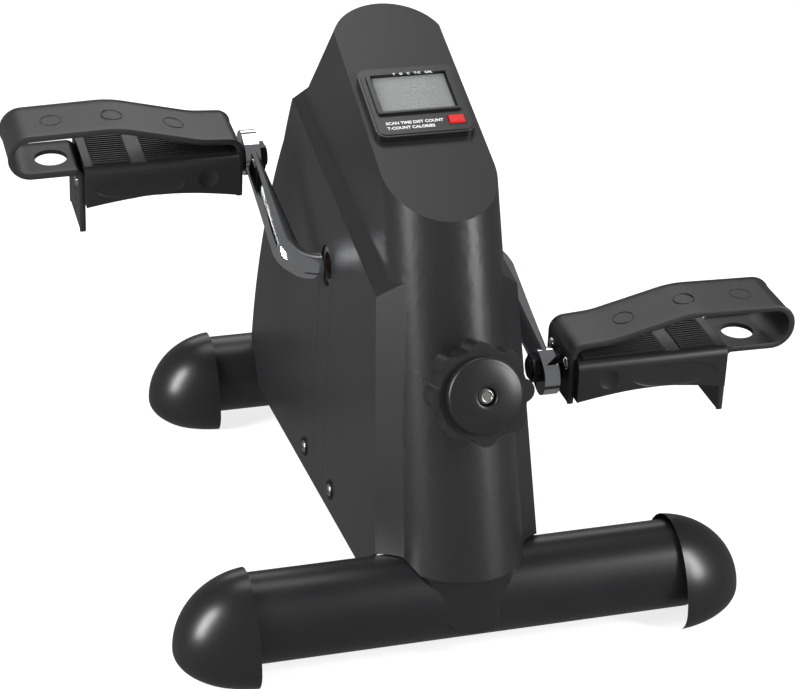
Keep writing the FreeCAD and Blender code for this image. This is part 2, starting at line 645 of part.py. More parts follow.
def resistance_drum():
    """Steel brake drum: rim, web and hub."""
    at = lambda x: (x, CRANK_Y, CRANK_Z)
    rim = ring(DRUM_R, DRUM_R - 6.0, at(-DRUM_HALF), at(DRUM_HALF))
    web = ring(DRUM_R - 6.0, 14.0, at(-3.0), at(3.0))
    hub = ring(14.0, ROD_R, at(-DRUM_HALF - 4), at(DRUM_HALF + 4))
    drum = join([rim, web, hub])
    for k in range(6):
        a = math.radians(60 * k)
        y, z = CRANK_Y + 31 * math.cos(a), CRANK_Z + 31 * math.sin(a)
        drum = drum.cut(rod(9.0, (-5, y, z), (5, y, z)))
    return drum.cut(rod(2.5, (DRUM_HALF + 0.5, CRANK_Y, CRANK_Z), (DRUM_HALF + 0.5, CRANK_Y, CRANK_Z + 20)))


def drum_set_screw():
    """Grub screw that locks the drum's hub to the rod."""
    x = DRUM_HALF + 0.5
    return rod(2.5, (x, CRANK_Y, CRANK_Z + ROD_R), (x, CRANK_Y, CRANK_Z + 15.0))


def crank_collar(side):
    """Retaining collar outside a bearing, inside the housing's hole."""
    return ring(11.3, ROD_R, (side * (BEARING_OUT + 0.3), CRANK_Y, CRANK_Z),
                (side * (BEARING_OUT + 4.3), CRANK_Y, CRANK_Z))


def magnet_place(x):
    """Where the sensor magnet sits on the drum's web."""
    return x, CRANK_Y + 43.0, CRANK_Z


save("crank_rod", crank_rod())
save("resistance_drum", resistance_drum())
save("drum_set_screw", drum_set_screw())
save("left_crank_collar", crank_collar(-1))
save("right_crank_collar", crank_collar(1))
save("sensor_magnet", rod(4.0, magnet_place(3.0), magnet_place(8.0)))
save("speed_sensor", join([box(14.5, 20.0, CRANK_Y + 38, CRANK_Y + 48, CRANK_Z - 6, CRANK_Z + 6),
                           box(18.0, 20.0, CRANK_Y + 10, CRANK_Y + 40, CRANK_Z - 5, CRANK_Z + 5)
                           .cut(crank_hole(14.5))]))


# ---------------------------------------------------------------- pedals
def pedal_frame(shape, side, tilt):
    """Move a piece drawn for a right pedal at the origin to its place, tilted."""
    out = mirror_x(shape) if side < 0 else shape.copy()
    _, y, z = eye_place(side)
    out.translate(V(0, y, z))
    out.rotate(V(0, y, z), V(1, 0, 0), tilt)
    return out


HUB_R = 9.5
PEG_R = 2.0
PEGS = [(end, out, y, z) for end, out, z in ((PEDAL_OUT, 1, 0.5), (PEDAL_IN, -1, 7.5))
        for y in (-12.0, 12.0)]
INNER_BUSH = (PEDAL_IN - 3.0, PEDAL_IN + 11.0)
OUTER_BUSH = (PEDAL_OUT - 34.0, PEDAL_OUT - 22.0)


def pedal_body():
    """Moulded pedal: rounded block with an arched underside, hollow round its hub."""
    x0, x1 = PEDAL_IN, PEDAL_OUT
    mid = (x0 + x1) / 2
    arch = 4.8
    bottom = Part.Arc(V(x0, 0, PEDAL_BOTTOM), V(mid, 0, PEDAL_BOTTOM + arch), V(x1, 0, PEDAL_BOTTOM)).toShape()
    outline = Part.Wire([bottom, Part.makeLine(V(x1, 0, PEDAL_BOTTOM), V(x1, 0, PEDAL_TOP)),
                         Part.makeLine(V(x1, 0, PEDAL_TOP), V(x0, 0, PEDAL_TOP)),
                         Part.makeLine(V(x0, 0, PEDAL_TOP), V(x0, 0, PEDAL_BOTTOM))])
    block = Part.Face(outline).extrude(V(0, 2 * PEDAL_HALF, 0))
    block.translate(V(0, -PEDAL_HALF, 0))
    block = try_fillet(block, 5.0, lambda e: abs(abs(e.CenterOfMass.y) - PEDAL_HALF) < 0.01
                       and abs(e.CenterOfMass.z - PEDAL_TOP) < 0.01)
    pocket = box(x0 + 3, x1 - 3, -PEDAL_HALF + 3, PEDAL_HALF - 3, PEDAL_BOTTOM - 1, PEDAL_TOP - 3.5)
    block = block.cut(pocket)
    hub = rod(HUB_R, (x0 - 3, 0, 0), (x1 - 18, 0, 0))
    ribs = [box(x0 + 2, x1 - 2, -1.5, 1.5, PEDAL_BOTTOM + 6, PEDAL_TOP - 2)]
    ribs += [box(x - 1.2, x + 1.2, -PEDAL_HALF + 2, PEDAL_HALF - 2, PEDAL_BOTTOM + 6, PEDAL_TOP - 2)
             for x in (x0 + 24, mid, x1 - 24)]
    body = join([block, hub] + ribs)
    body = body.cut(rod(SPINDLE_R + 0.6, (x0 - 5, 0, 0), (x1 - 17, 0, 0)))
    for a, b in (INNER_BUSH, OUTER_BUSH):
        body = body.cut(rod(HUB_R - 1.6, (a, 0, 0), (b, 0, 0)))
    body = body.cut(rod(HUB_R - 1.6, (OUTER_BUSH[1], 0, 0), (x1 - 17, 0, 0)))
    for end, _, y, z in PEGS:
        body = body.cut(rod(PEG_R, (end - 6, y, z), (end + 6, y, z)))
    return body.cut(rod(8.5, (x1 - 18, 0, 0), (x1 + 1, 0, 0)))


def pedal_bushes():
    """The two plain bushes between spindle and pedal."""
    return Part.makeCompound([ring(HUB_R - 1.6, SPINDLE_R + FIT, (a, 0, 0), (b, 0, 0))
                              for a, b in (INNER_BUSH, OUTER_BUSH)])


SPINDLE_END = OUTER_BUSH[1] + 8.0
LOCK_NUT_LONG = 4.0


def pedal_spindle():
    """Axle screwed into the crank's eye, with a shoulder against the eye."""
    pin = rod(SPINDLE_R, (EYE_X - EYE_THICK / 2 - LOCK_NUT_LONG - 1.0, 0, 0), (SPINDLE_END, 0, 0))
    shoulder = rod(8.6, (EYE_X + EYE_THICK / 2, 0, 0), (INNER_BUSH[0] - 0.3, 0, 0))
    return join([pin, shoulder])


def hex_nut(across, x0, x1, bore):
    """A hexagonal nut on the X axis."""
    r = across / math.sqrt(3.0)
    pts = [V(x0, r * math.cos(math.radians(60 * k)), r * math.sin(math.radians(60 * k))) for k in range(7)]
    nut = Part.Face(Part.makePolygon(pts)).extrude(V(x1 - x0, 0, 0))
    return nut.cut(rod(bore, (x0 - 1, 0, 0), (x1 + 1, 0, 0)))


def end_plug():
    """Cap that closes the hole over the spindle's nut."""
    return rod(8.5, (PEDAL_OUT - 4, 0, 0), (PEDAL_OUT, 0, 0))


def strap_pegs():
    """Mushroom pegs on both ends of the pedal that the strap buttons onto."""
    pegs = []
    for end, out, y, z in PEGS:
        face = end + out * (STRAP_THICK + 0.4)
        neck = rod(PEG_R, (end - out * 3.0, y, z), (face, y, z))
        head = rod(3.4, (face, y, z), (face + out * 1.6, y, z))
        pegs.append(join([neck, head]))
    return Part.makeCompound(pegs)


# centre line of the strap over a right pedal: (x, z, bend radius) from the pedal's axis
STRAP_INNER_X = PEDAL_IN - STRAP_THICK / 2 - 0.1
STRAP_OUTER_X = PEDAL_OUT + STRAP_THICK / 2 + 0.1
STRAP_REACH = 211.5            # how far out its loop goes
INNER_TAIL_Z = -13.0
OUTER_TAIL_Z = -24.0
STRAP_ROUTE = [(STRAP_INNER_X, INNER_TAIL_Z, 0), (STRAP_INNER_X, 20.2, 7.0), (102.0, 22.5, 60.0),
               (150.0, 35.2, 60.0), (STRAP_REACH, 33.4, 11.5), (STRAP_REACH, 8.2, 11.5),
               (STRAP_OUTER_X, 8.8, 4.0), (STRAP_OUTER_X, OUTER_TAIL_Z, 0)]
STRAP_WINDOW_R = 9.5
TAIL_TIP_HALF = 4.0            # half width of a tail's blunt tip
TAIL_TAPER = 22.0


def rail(route, shift):
    """Edges of a rounded line that runs beside a route at a constant distance."""
    pts = [V(x, 0, z) for x, z, _ in route]
    runs = [(b - a).normalize() for a, b in zip(pts, pts[1:])]
    sides = [V(-d.z, 0, d.x) for d in runs]
    corners = [pts[0] + sides[0] * shift]
    for k in range(1, len(pts) - 1):
        half = (sides[k - 1] + sides[k]).normalize()
        corners.append(pts[k] + half * (shift / half.dot(sides[k])))
    corners.append(pts[-1] + sides[-1] * shift)
    edges, here = [], corners[0]
    for k in range(1, len(pts) - 1):
        before, after = runs[k - 1], runs[k]
        turn = before.getAngle(after)
        left = before.x * after.z - before.z * after.x > 0
        radius = route[k][2] - shift if left else route[k][2] + shift
        back = radius * math.tan(turn / 2)
        start, end = corners[k] - before * back, corners[k] + after * back
        inward = (after - before).normalize()
        middle = corners[k] + inward * (radius / math.cos(turn / 2) - radius)
        edges += [Part.makeLine(here, start), Part.Arc(start, middle, end).toShape()]
        here = end
    edges.append(Part.makeLine(here, corners[-1]))
    return edges, corners[0], corners[-1]


def tail_trim(x, low):
    """The two wedges that leave a pointed tail at the strap's end."""
    wedges = []
    for side in (-1, 1):
        points = [V(x - 4, side * TAIL_TIP_HALF, low - 0.1), V(x - 4, side * (STRAP_HALF + 1), low - 0.1),
                  V(x - 4, side * (STRAP_HALF + 1), low + TAIL_TAPER)]
        wedges.append(Part.Face(Part.makePolygon(points + [points[0]])).extrude(V(8, 0, 0)))
    return wedges


def strap():
    """Soft strap as one ribbon, with pointed tails, a window in its outer loop and peg holes."""
    outer, outer_start, outer_end = rail(STRAP_ROUTE, STRAP_THICK / 2)
    inner, inner_start, inner_end = rail(STRAP_ROUTE, -STRAP_THICK / 2)
    ends = [Part.makeLine(outer_start, inner_start), Part.makeLine(outer_end, inner_end)]
    face = Part.Face(Part.Wire(Part.__sortEdges__(outer + inner + ends)))
    face.translate(V(0, -STRAP_HALF, 0))
    ribbon = face.extrude(V(0, 2 * STRAP_HALF, 0))
    window_x = STRAP_OUTER_X + 17.0
    ribbon = ribbon.cut(rod(STRAP_WINDOW_R, (window_x, 0, 0), (window_x, 0, 18)))
    ribbon = ribbon.cut(rod(HUB_R + 0.1, (PEDAL_IN - 6, 0, 0), (PEDAL_IN, 0, 0)))
    for end, _, y, z in PEGS:
        ribbon = ribbon.cut(rod(PEG_R + 0.2, (end - 6, y, z), (end + 6, y, z)))
    for x, low in ((STRAP_INNER_X, INNER_TAIL_Z), (STRAP_OUTER_X, OUTER_TAIL_Z)):
        for wedge in tail_trim(x, low):
            ribbon = ribbon.cut(wedge)
    return ribbon


PEDAL_PIECES = {
    "pedal_body": pedal_body(),
    "pedal_bushes": pedal_bushes(),
    "pedal_spindle": pedal_spindle(),
    "pedal_lock_nut": hex_nut(14.5, EYE_X - EYE_THICK / 2 - LOCK_NUT_LONG, EYE_X - EYE_THICK / 2, SPINDLE_R),
    "spindle_nut": hex_nut(13.0, OUTER_BUSH[1] + 0.3, OUTER_BUSH[1] + 6.3, SPINDLE_R),
    "pedal_end_plug": end_plug(),
    "strap_pegs": strap_pegs(),
    "pedal_strap": strap(),
}
for name, side in (("left", -1), ("right", 1)):
    for piece, shape in PEDAL_PIECES.items():
        save(name + "_" + piece, pedal_frame(shape, side, PEDAL_TILT[name]))


# ---------------------------------------------------------------- tension knob and brake
KNOB_LOBES = 8
KNOB_SKIRT = 16.0              # depth of the lobed skirt below the disc
LOBE_R = 6.2


def knob_turned(shape):
    """Move a piece drawn on the Z axis, outwards up, onto the knob's axis."""
    out = shape.copy()
    tilt = math.degrees(math.atan(COLUMN_LEAN))
    out.rotate(V(0, 0, 0), V(1, 0, 0), 90.0 - tilt)
    out.translate(V(0, KNOB_ROOT[0], KNOB_ROOT[1]))
    return out


def tension_knob():
    """Eight-lobed hand knob: fluted skirt, raised domed disc, recess for the screw's end."""
    disc_low = KNOB_OUT - 9.0
    core_r = KNOB_LOBE_R - 3.4
    skirt = Part.makeCylinder(core_r, KNOB_SKIRT + 4.0, V(0, 0, disc_low - KNOB_SKIRT))
    lobes = []
    for k in range(KNOB_LOBES):
        a = math.radians(360.0 / KNOB_LOBES * (k + 0.5))
        r = KNOB_LOBE_R - LOBE_R
        lobes.append(Part.makeCylinder(LOBE_R, KNOB_SKIRT + 2.0,
                                       V(r * math.cos(a), r * math.sin(a), disc_low - KNOB_SKIRT)))
        a += math.radians(180.0 / KNOB_LOBES)
        r = KNOB_LOBE_R + 1.6
        skirt = skirt.cut(Part.makeCylinder(5.2, 40.0, V(r * math.cos(a), r * math.sin(a), 0)))
    dome_r = 60.0
    cap = Part.makeCylinder(KNOB_DISC_R, 11.0, V(0, 0, disc_low - 2.0))
    cap = cap.common(Part.makeSphere(dome_r, V(0, 0, KNOB_OUT - dome_r)))
    neck = Part.makeCylinder(11.0, disc_low - KNOB_SKIRT - 3.0, V(0, 0, 3.0))
    knob = join([skirt] + lobes + [cap, neck])
    knob = knob.cut(Part.makeCylinder(5.2, 8.0, V(0, 0, KNOB_OUT - 6.0)))
    return knob.cut(Part.makeCylinder(SCREW_R, 80.0, V(0, 0, -10.0)))


def tension_screw():
    """Long screw through the knob, the column and the bracket."""
    return Part.makeCylinder(SCREW_R, SCREW_LONG + KNOB_OUT - 3.0, V(0, 0, -SCREW_LONG))


def screw_clips():
    """Washers fixed to the screw on both sides of its bracket, so that it only turns."""
    front = Part.makeCylinder(8.0, 1.6, V(0, 0, -7.8)).cut(Part.makeCylinder(SCREW_R, 4, V(0, 0, -9)))
    back = Part.makeCylinder(8.0, 1.6, V(0, 0, -12.8)).cut(Part.makeCylinder(SCREW_R, 4, V(0, 0, -14)))
    return Part.makeCompound([front, back])


NUT_REAR = 72.9                # rear face of the travelling nut, from the column
NUT_LONG = 10.0


def tension_nut():
    """Square nut that the screw drives along towards the brake lever."""
    block = Part.makeBox(16, 16, NUT_LONG, V(-8, -8, -NUT_REAR))
    return block.cut(Part.makeCylinder(SCREW_R + FIT, 40, V(0, 0, -NUT_REAR - 10)))


save("tension_knob", knob_turned(tension_knob()))
save("tension_screw", knob_turned(tension_screw()))
save("screw_clips", knob_turned(screw_clips()))
save("tension_nut", knob_turned(tension_nut()))


def pad_point(radius):
    """(y, z) on the line from the drum's centre through the middle of the pad."""
    a = math.radians(PAD_ANGLE)
    return CRANK_Y - radius * math.cos(a), CRANK_Z - radius * math.sin(a)


def brake_pad():
    """Curved friction pad, concentric with the drum once it is pressed home."""
    thick, half = 6.0, 11.0
    near, far = DRUM_R + PAD_GAP, DRUM_R + PAD_GAP + thick
    pad = ring(far, near, (-10, CRANK_Y, CRANK_Z), (10, CRANK_Y, CRANK_Z))
    window = turn_x(box(-12, 12, CRANK_Y - far - 2, CRANK_Y - near + 8, CRANK_Z - half, CRANK_Z + half),
                    PAD_ANGLE, CRANK_Y, CRANK_Z)
    return pad.common(window)


def brake_lever():
    """Forked lever: pivot boss, arm past the screw, shoe that backs the pad."""
    py, pz = LEVER_PIVOT
    far = DRUM_R + PAD_GAP + 6.0
    sy, sz = pad_point(far + 2.0)
    shoe = ring(far + 4.0, far, (-10, CRANK_Y, CRANK_Z), (10, CRANK_Y, CRANK_Z))
    shoe = shoe.common(turn_x(box(-12, 12, CRANK_Y - far - 8, CRANK_Y - far + 8, CRANK_Z - 12, CRANK_Z + 12),
                              PAD_ANGLE, CRANK_Y, CRANK_Z))
    arm = prism_x([(py - 4, pz), (py + 4, pz), (sy + 3, sz - 6), (sy - 1, sz + 6), (sy - 6, sz + 2)], -8.6, 8.6)
    arm = arm.cut(rod(far, (-20, CRANK_Y, CRANK_Z), (20, CRANK_Y, CRANK_Z)))
    boss = rod(7.0, (-8.6, py, pz), (8.6, py, pz))
    return join([arm, boss, shoe]).cut(rod(3.0 + FIT, (-20, py, pz), (20, py, pz)))


save("brake_pad", brake_pad())
save("brake_lever", brake_lever())
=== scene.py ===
"""Studio scene of a pedal exerciser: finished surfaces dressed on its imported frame."""
import json
import logging
import math
from dataclasses import dataclass, field
from enum import Enum
from typing import Callable, Iterable, Sequence

import bpy
from mathutils import Matrix, Vector


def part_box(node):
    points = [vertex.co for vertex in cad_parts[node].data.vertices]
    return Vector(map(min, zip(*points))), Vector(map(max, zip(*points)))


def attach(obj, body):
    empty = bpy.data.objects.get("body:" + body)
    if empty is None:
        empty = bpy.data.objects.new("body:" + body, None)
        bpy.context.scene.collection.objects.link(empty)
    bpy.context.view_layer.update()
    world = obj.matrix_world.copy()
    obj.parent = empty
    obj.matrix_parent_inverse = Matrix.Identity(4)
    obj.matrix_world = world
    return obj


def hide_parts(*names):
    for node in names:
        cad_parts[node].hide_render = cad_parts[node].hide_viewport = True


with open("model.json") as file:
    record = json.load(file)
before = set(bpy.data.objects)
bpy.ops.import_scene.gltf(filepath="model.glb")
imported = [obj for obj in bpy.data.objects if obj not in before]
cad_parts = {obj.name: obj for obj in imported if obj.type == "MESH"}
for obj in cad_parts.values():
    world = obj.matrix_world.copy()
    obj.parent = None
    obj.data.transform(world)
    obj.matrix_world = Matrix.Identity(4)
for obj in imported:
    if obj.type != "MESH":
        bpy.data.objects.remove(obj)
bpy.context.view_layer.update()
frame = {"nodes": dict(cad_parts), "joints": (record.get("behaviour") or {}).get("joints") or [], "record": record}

logging.basicConfig(level=logging.INFO, format="%(message)s")
log = logging.getLogger("exerciser")

MM = 0.001
FACING_X = (0, math.pi / 2, 0)  # the turn that lays an upright piece along X
Piece = bpy.types.Object
Material = bpy.types.Material
Point = tuple[float, float, float]
Test = Callable[[Vector, Vector], bool]


# ---------------------------------------------------------------- bench: shaping with operators
class Pick(Enum):
    """What a selection in edit mode is made of."""

    VERTS = (True, False, False)
    EDGES = (False, True, False)
    FACES = (False, False, True)


class Bench:
    """Edit-mode workbench. Lengths and places are in millimetres in the row frame."""

    @staticmethod
    def clear() -> None:
        """Leave edit mode and deselect everything."""
        if bpy.context.mode != "OBJECT":
            bpy.ops.object.mode_set(mode="OBJECT")
        bpy.ops.object.select_all(action="DESELECT")

    @staticmethod
    def take(obj: Piece) -> Piece:
        """Make one object the only selected and active one."""
        Bench.clear()
        obj.hide_viewport = False
        obj.select_set(True)
        bpy.context.view_layer.objects.active = obj
        return obj

    @staticmethod
    def settle(name: str) -> Piece:
        """Name the new active object and put its place into its mesh."""
        obj = bpy.context.active_object
        obj.name = obj.data.name = name
        bpy.ops.object.transform_apply(location=True, rotation=True, scale=True)
        return obj

    @staticmethod
    def block(name: str, low: Point, high: Point) -> Piece:
        """A cuboid between two corners."""
        Bench.clear()
        middle = [(a + b) / 2 * MM for a, b in zip(low, high)]
        bpy.ops.mesh.primitive_cube_add(size=1.0, location=middle)
        bpy.context.active_object.scale = [(b - a) * MM for a, b in zip(low, high)]
        return Bench.settle(name)

    @staticmethod
    def turning(start: Point, end: Point) -> tuple[Vector, tuple[float, float, float], float]:
        """Middle, Euler turn and length of a round piece between two points.

        Args:
            start: one end of the axis.
            end: the other end.

        Returns:
            The middle in metres, the turn that brings Z onto the axis, and the length in metres.
        """
        a, b = Vector(start) * MM, Vector(end) * MM
        return (a + b) / 2, tuple((b - a).to_track_quat("Z", "Y").to_euler()), (b - a).length

    @staticmethod
    def cylinder(name: str, radius: float, start: Point, end: Point, around: int = 64,
                 far_radius: float | None = None) -> Piece:
        """A round bar or cone between two points."""
        Bench.clear()
        middle, turn, length = Bench.turning(start, end)
        far = radius if far_radius is None else far_radius
        bpy.ops.mesh.primitive_cone_add(vertices=around, radius1=radius * MM, radius2=far * MM,
                                        depth=length, location=middle, rotation=turn)
        return Bench.settle(name)

    @staticmethod
    def ring(name: str, radius: float, at: Point, axis: Point, around: int = 48) -> Piece:
        """An open circle of edges, ready to be extruded or spun."""
        Bench.clear()
        turn = tuple(Vector(axis).to_track_quat("Z", "Y").to_euler())
        bpy.ops.mesh.primitive_circle_add(vertices=around, radius=radius * MM,
                                          location=Vector(at) * MM, rotation=turn)
        return Bench.settle(name)

    @staticmethod
    def ball(name: str, radius: float, at: Point, turn: Point = (0, 0, 0),
             segments: int = 96, rings: int = 48) -> Piece:
        """A sphere with its poles turned as asked."""
        Bench.clear()
        bpy.ops.mesh.primitive_uv_sphere_add(segments=segments, ring_count=rings, radius=radius * MM,
                                             location=Vector(at) * MM, rotation=turn)
        return Bench.settle(name)

    @staticmethod
    def bead(name: str, radius: float, thick: float, at: Point, turn: Point = (0, 0, 0)) -> Piece:
        """A torus."""
        Bench.clear()
        bpy.ops.mesh.primitive_torus_add(major_radius=radius * MM, minor_radius=thick * MM,
                                         major_segments=64, minor_segments=12,
                                         location=Vector(at) * MM, rotation=turn)
        return Bench.settle(name)

    @staticmethod
    def outline(name: str, points: Sequence[Point], closed: bool) -> Piece:
        """A run of edges through points, ready to be extruded or spun."""
        count = len(points)
        mesh = bpy.data.meshes.new(name)
        mesh.from_pydata([tuple(Vector(point) * MM) for point in points],
                         [(k, (k + 1) % count) for k in range(count if closed else count - 1)], [])
        obj = bpy.data.objects.new(name, mesh)
        bpy.context.scene.collection.objects.link(obj)
        return obj

    @staticmethod
    def edit(obj: Piece, test: Test | None = None, pick: Pick = Pick.FACES) -> None:
        """Enter edit mode with the faces, edges or vertices selected that pass a test.

        Args:
            obj: the piece to shape.
            test: told each centre (mm) and normal; everything is selected without one.
            pick: what is tested and selected.
        """
        Bench.take(obj)
        mesh = obj.data
        mesh.vertices.foreach_set("select", [False] * len(mesh.vertices))
        mesh.edges.foreach_set("select", [False] * len(mesh.edges))
        mesh.polygons.foreach_set("select", [False] * len(mesh.polygons))
        bpy.context.tool_settings.mesh_select_mode = pick.value
        if test is not None and pick is Pick.FACES:
            for face in mesh.polygons:
                face.select = test(face.center / MM, face.normal)
        elif test is not None and pick is Pick.EDGES:
            for edge in mesh.edges:
                a, b = (mesh.vertices[i].co for i in edge.vertices)
                edge.select = test((a + b) / 2 / MM, (b - a).normalized())
        elif test is not None:
            for vert in mesh.vertices:
                vert.select = test(vert.co / MM, vert.normal)
        bpy.ops.object.mode_set(mode="EDIT")
        if test is None:
            bpy.ops.mesh.select_all(action="SELECT")

    @staticmethod
    def done(obj: Piece) -> Piece:
        """Leave edit mode."""
        bpy.ops.object.mode_set(mode="OBJECT")
        return obj

    @staticmethod
    def push(step: Point) -> None:
        """Extrude the selection by a vector."""
        bpy.ops.mesh.extrude_region_move(TRANSFORM_OT_translate={"value": Vector(step) * MM})

    @staticmethod
    def swell(factors: Point, about: Point) -> None:
        """Scale the selection about a point."""
        bpy.ops.transform.resize(value=factors, center_override=Vector(about) * MM)

    @staticmethod
    def stretch(obj: Piece, factors: Point, about: Point, test: Test | None = None,
                pick: Pick = Pick.VERTS) -> Piece:
        """Scale a piece, or the part of it that passes a test, about a point."""
        Bench.edit(obj, test, pick)
        Bench.swell(factors, about)
        return Bench.done(obj)

    @staticmethod
    def round_edges(obj: Piece, test: Test, width: float, segments: int) -> Piece:
        """Bevel the edges that pass a test."""
        Bench.edit(obj, test, Pick.EDGES)
        bpy.ops.mesh.bevel(offset=width * MM, segments=segments)
        return Bench.done(obj)

    @staticmethod
    def heal(obj: Piece, gap: float) -> Piece:
        """Merge vertices closer than a gap and turn every normal outwards."""
        Bench.edit(obj)
        bpy.ops.mesh.remove_doubles(threshold=gap * MM)
        bpy.ops.mesh.normals_make_consistent(inside=False)
        return Bench.done(obj)

    @staticmethod
    def wheel(about: Point, axis: Point, angle: float, steps: int) -> None:
        """Spin the selected edge loop about an axis."""
        bpy.ops.mesh.spin(steps=steps, angle=-angle, center=Vector(about) * MM, axis=axis)

    @staticmethod
    def slice(at: Point, normal: Point, drop: bool = True, fill: bool = True) -> None:
        """Cut everything with a plane, and drop or keep the side behind it."""
        bpy.ops.mesh.select_all(action="SELECT")
        bpy.ops.mesh.bisect(plane_co=Vector(at) * MM, plane_no=normal, use_fill=fill, clear_inner=drop)

    @staticmethod
    def modify(obj: Piece, kind: str, **settings: object) -> Piece:
        """Add a modifier and apply it."""
        Bench.take(obj)
        modifier = obj.modifiers.new(kind.title(), kind)
        for key, value in settings.items():
            setattr(modifier, key, value)
        bpy.ops.object.modifier_apply(modifier=modifier.name)
        return obj

    @staticmethod
    def round_off(obj: Piece, width: float, segments: int = 3,
                  angle: float = 30.0) -> Piece:
        """Bevel the sharp edges."""
        return Bench.modify(obj, "BEVEL", width=width * MM, segments=segments, limit_method="ANGLE",
                            angle_limit=math.radians(angle), harden_normals=False)

    @staticmethod
    def carve(obj: Piece, tool: Piece, add: bool = False) -> Piece:
        """Cut a tool's shape out of a piece, or weld it on."""
        Bench.modify(obj, "BOOLEAN", operation="UNION" if add else "DIFFERENCE", object=tool,
                     solver="EXACT")
        bpy.data.objects.remove(tool)
        return obj

    @staticmethod
    def join(parts: Sequence[Piece], name: str) -> Piece:
        """Make one object of several."""
        Bench.clear()
        for part in parts:
            part.select_set(True)
        bpy.context.view_layer.objects.active = parts[0]
        bpy.ops.object.join()
        parts[0].name = parts[0].data.name = name
        return parts[0]

    @staticmethod
    def copy(obj: Piece, name: str) -> Piece:
        """A copy with a mesh of its own."""
        twin = bpy.data.objects.new(name, obj.data.copy())
        bpy.context.scene.collection.objects.link(twin)
        return twin

    @staticmethod
    def place(obj: Piece, matrix: Matrix) -> Piece:
        """Bring a piece to its place through its mesh and mend mirrored normals."""
        Bench.take(obj)
        obj.matrix_world = matrix
        bpy.ops.object.transform_apply(location=True, rotation=True, scale=True)
        if matrix.determinant() < 0:
            Bench.edit(obj)
            bpy.ops.mesh.normals_make_consistent(inside=False)
            Bench.done(obj)
        return obj

    @staticmethod
    def from_node(node: str, name: str) -> Piece:
        """A merged copy of a CAD node, flat faces dissolved, ready for rounding."""
        copy = Bench.copy(frame["nodes"][node], name)
        copy.parent = None
        Bench.edit(copy)
        bpy.ops.mesh.remove_doubles(threshold=0.00001)
        bpy.ops.mesh.dissolve_limited(angle_limit=math.radians(0.6))
        return Bench.done(copy)

    @staticmethod
    def smooth(obj: Piece, angle: float = 32.0) -> Piece:
        """Shade smooth across shallow edges."""
        Bench.take(obj)
        bpy.ops.object.shade_smooth_by_angle(angle=math.radians(angle))
        return Bench.modify(obj, "WEIGHTED_NORMAL", keep_sharp=True, weight=80)


# ---------------------------------------------------------------- shader maths
class Wire:
    """A node socket that builds Math nodes from Python expressions."""

    def __init__(self, graph: "Graph", socket: bpy.types.NodeSocket) -> None:
        """Wrap one output socket."""
        self.graph = graph
        self.socket = socket

    def math(self, operation: str, other: "Wire | float") -> "Wire":
        """One Math node on this value and another."""
        return self.graph.node("ShaderNodeMath", {"operation": operation}, {0: self, 1: other})

    def __add__(self, other: "Wire | float") -> "Wire":
        """Sum."""
        return self.math("ADD", other)

    def __mul__(self, other: "Wire | float") -> "Wire":
        """Product."""
        return self.math("MULTIPLY", other)

    def between(self, low: float, high: float) -> "Wire":
        """Smooth step from 0 at low to 1 at high."""
        return self.graph.node("ShaderNodeMapRange", {"interpolation_type": "SMOOTHSTEP"},
                               {"Value": self, "From Min": low, "From Max": high})


class Graph:
    """Node tree of one material."""

    def __init__(self, name: str) -> None:
        """Start an empty material with a Principled shader."""
        self.material = bpy.data.materials.new(name)
        self.material.use_nodes = True
        self.tree = self.material.node_tree
        self.tree.nodes.clear()
        self.output = self.tree.nodes.new("ShaderNodeOutputMaterial")
        self.shader = self.tree.nodes.new("ShaderNodeBsdfPrincipled")
        self.tree.links.new(self.shader.outputs[0], self.output.inputs[0])
        self.place = self.node("ShaderNodeTexCoord", {}, {}, "Object")

    def node(self, kind: str, settings: dict[str, object], inputs: dict[object, object],
             output: object = 0) -> Wire:
        """Add a node.

        Args:
            kind: the node's type.
            settings: properties that are set first.
            inputs: socket name or index to a value or a Wire.
            output: which output to hand back.

        Returns:
            The chosen output as a Wire.
        """
        made = self.tree.nodes.new(kind)
        for key, value in settings.items():
            setattr(made, key, value)
        for key, value in inputs.items():
            self.feed(made.inputs[key], value)
        return Wire(self, made.outputs[output])

    def feed(self, socket: bpy.types.NodeSocket, value: object) -> None:
        """Link a Wire or set a constant."""
        if isinstance(value, Wire):
            self.tree.links.new(value.socket, socket)
        else:
            socket.default_value = value

    def noise(self, scale: float, detail: float = 2.0, rough: float = 0.5,
              stretch: Point = (1, 1, 1)) -> Wire:
        """Noise in Object coordinates, with scale in cycles per metre."""
        spot = self.node("ShaderNodeMapping", {}, {"Vector": self.place, "Scale": stretch})
        return self.node("ShaderNodeTexNoise", {}, {"Vector": spot, "Scale": scale, "Detail": detail,
                                                    "Roughness": rough})

    def mix(self, factor: Wire, first: Sequence[float], second: Sequence[float]) -> Wire:
        """Blend two colours."""
        return self.node("ShaderNodeMix", {"data_type": "RGBA"},
                         {0: factor, 6: (*first[:3], 1.0), 7: (*second[:3], 1.0)}, 2)

    def relief(self, height: Wire, depth: float) -> None:
        """Feed a height into the shader's normal; depth is in millimetres."""
        bump = self.node("ShaderNodeBump", {}, {"Height": height, "Distance": depth * MM, "Strength": 1.0})
        self.feed(self.shader.inputs["Normal"], bump)

    def set(self, **sockets: object) -> None:
        """Set shader sockets; underscores stand for spaces."""
        for key, value in sockets.items():
            self.feed(self.shader.inputs[key.replace("_", " ")], value)


# ---------------------------------------------------------------- finishes
@dataclass(frozen=True)
class Finish:
    """A named surface that can make its own material."""

    name: str

    def build(self) -> Material:
        """Make the material."""
        g = Graph(self.name)
        self.shade(g)
        return g.material

    def shade(self, g: Graph) -> None:
        """Wire the shader; each finish has its own way."""
        raise NotImplementedError


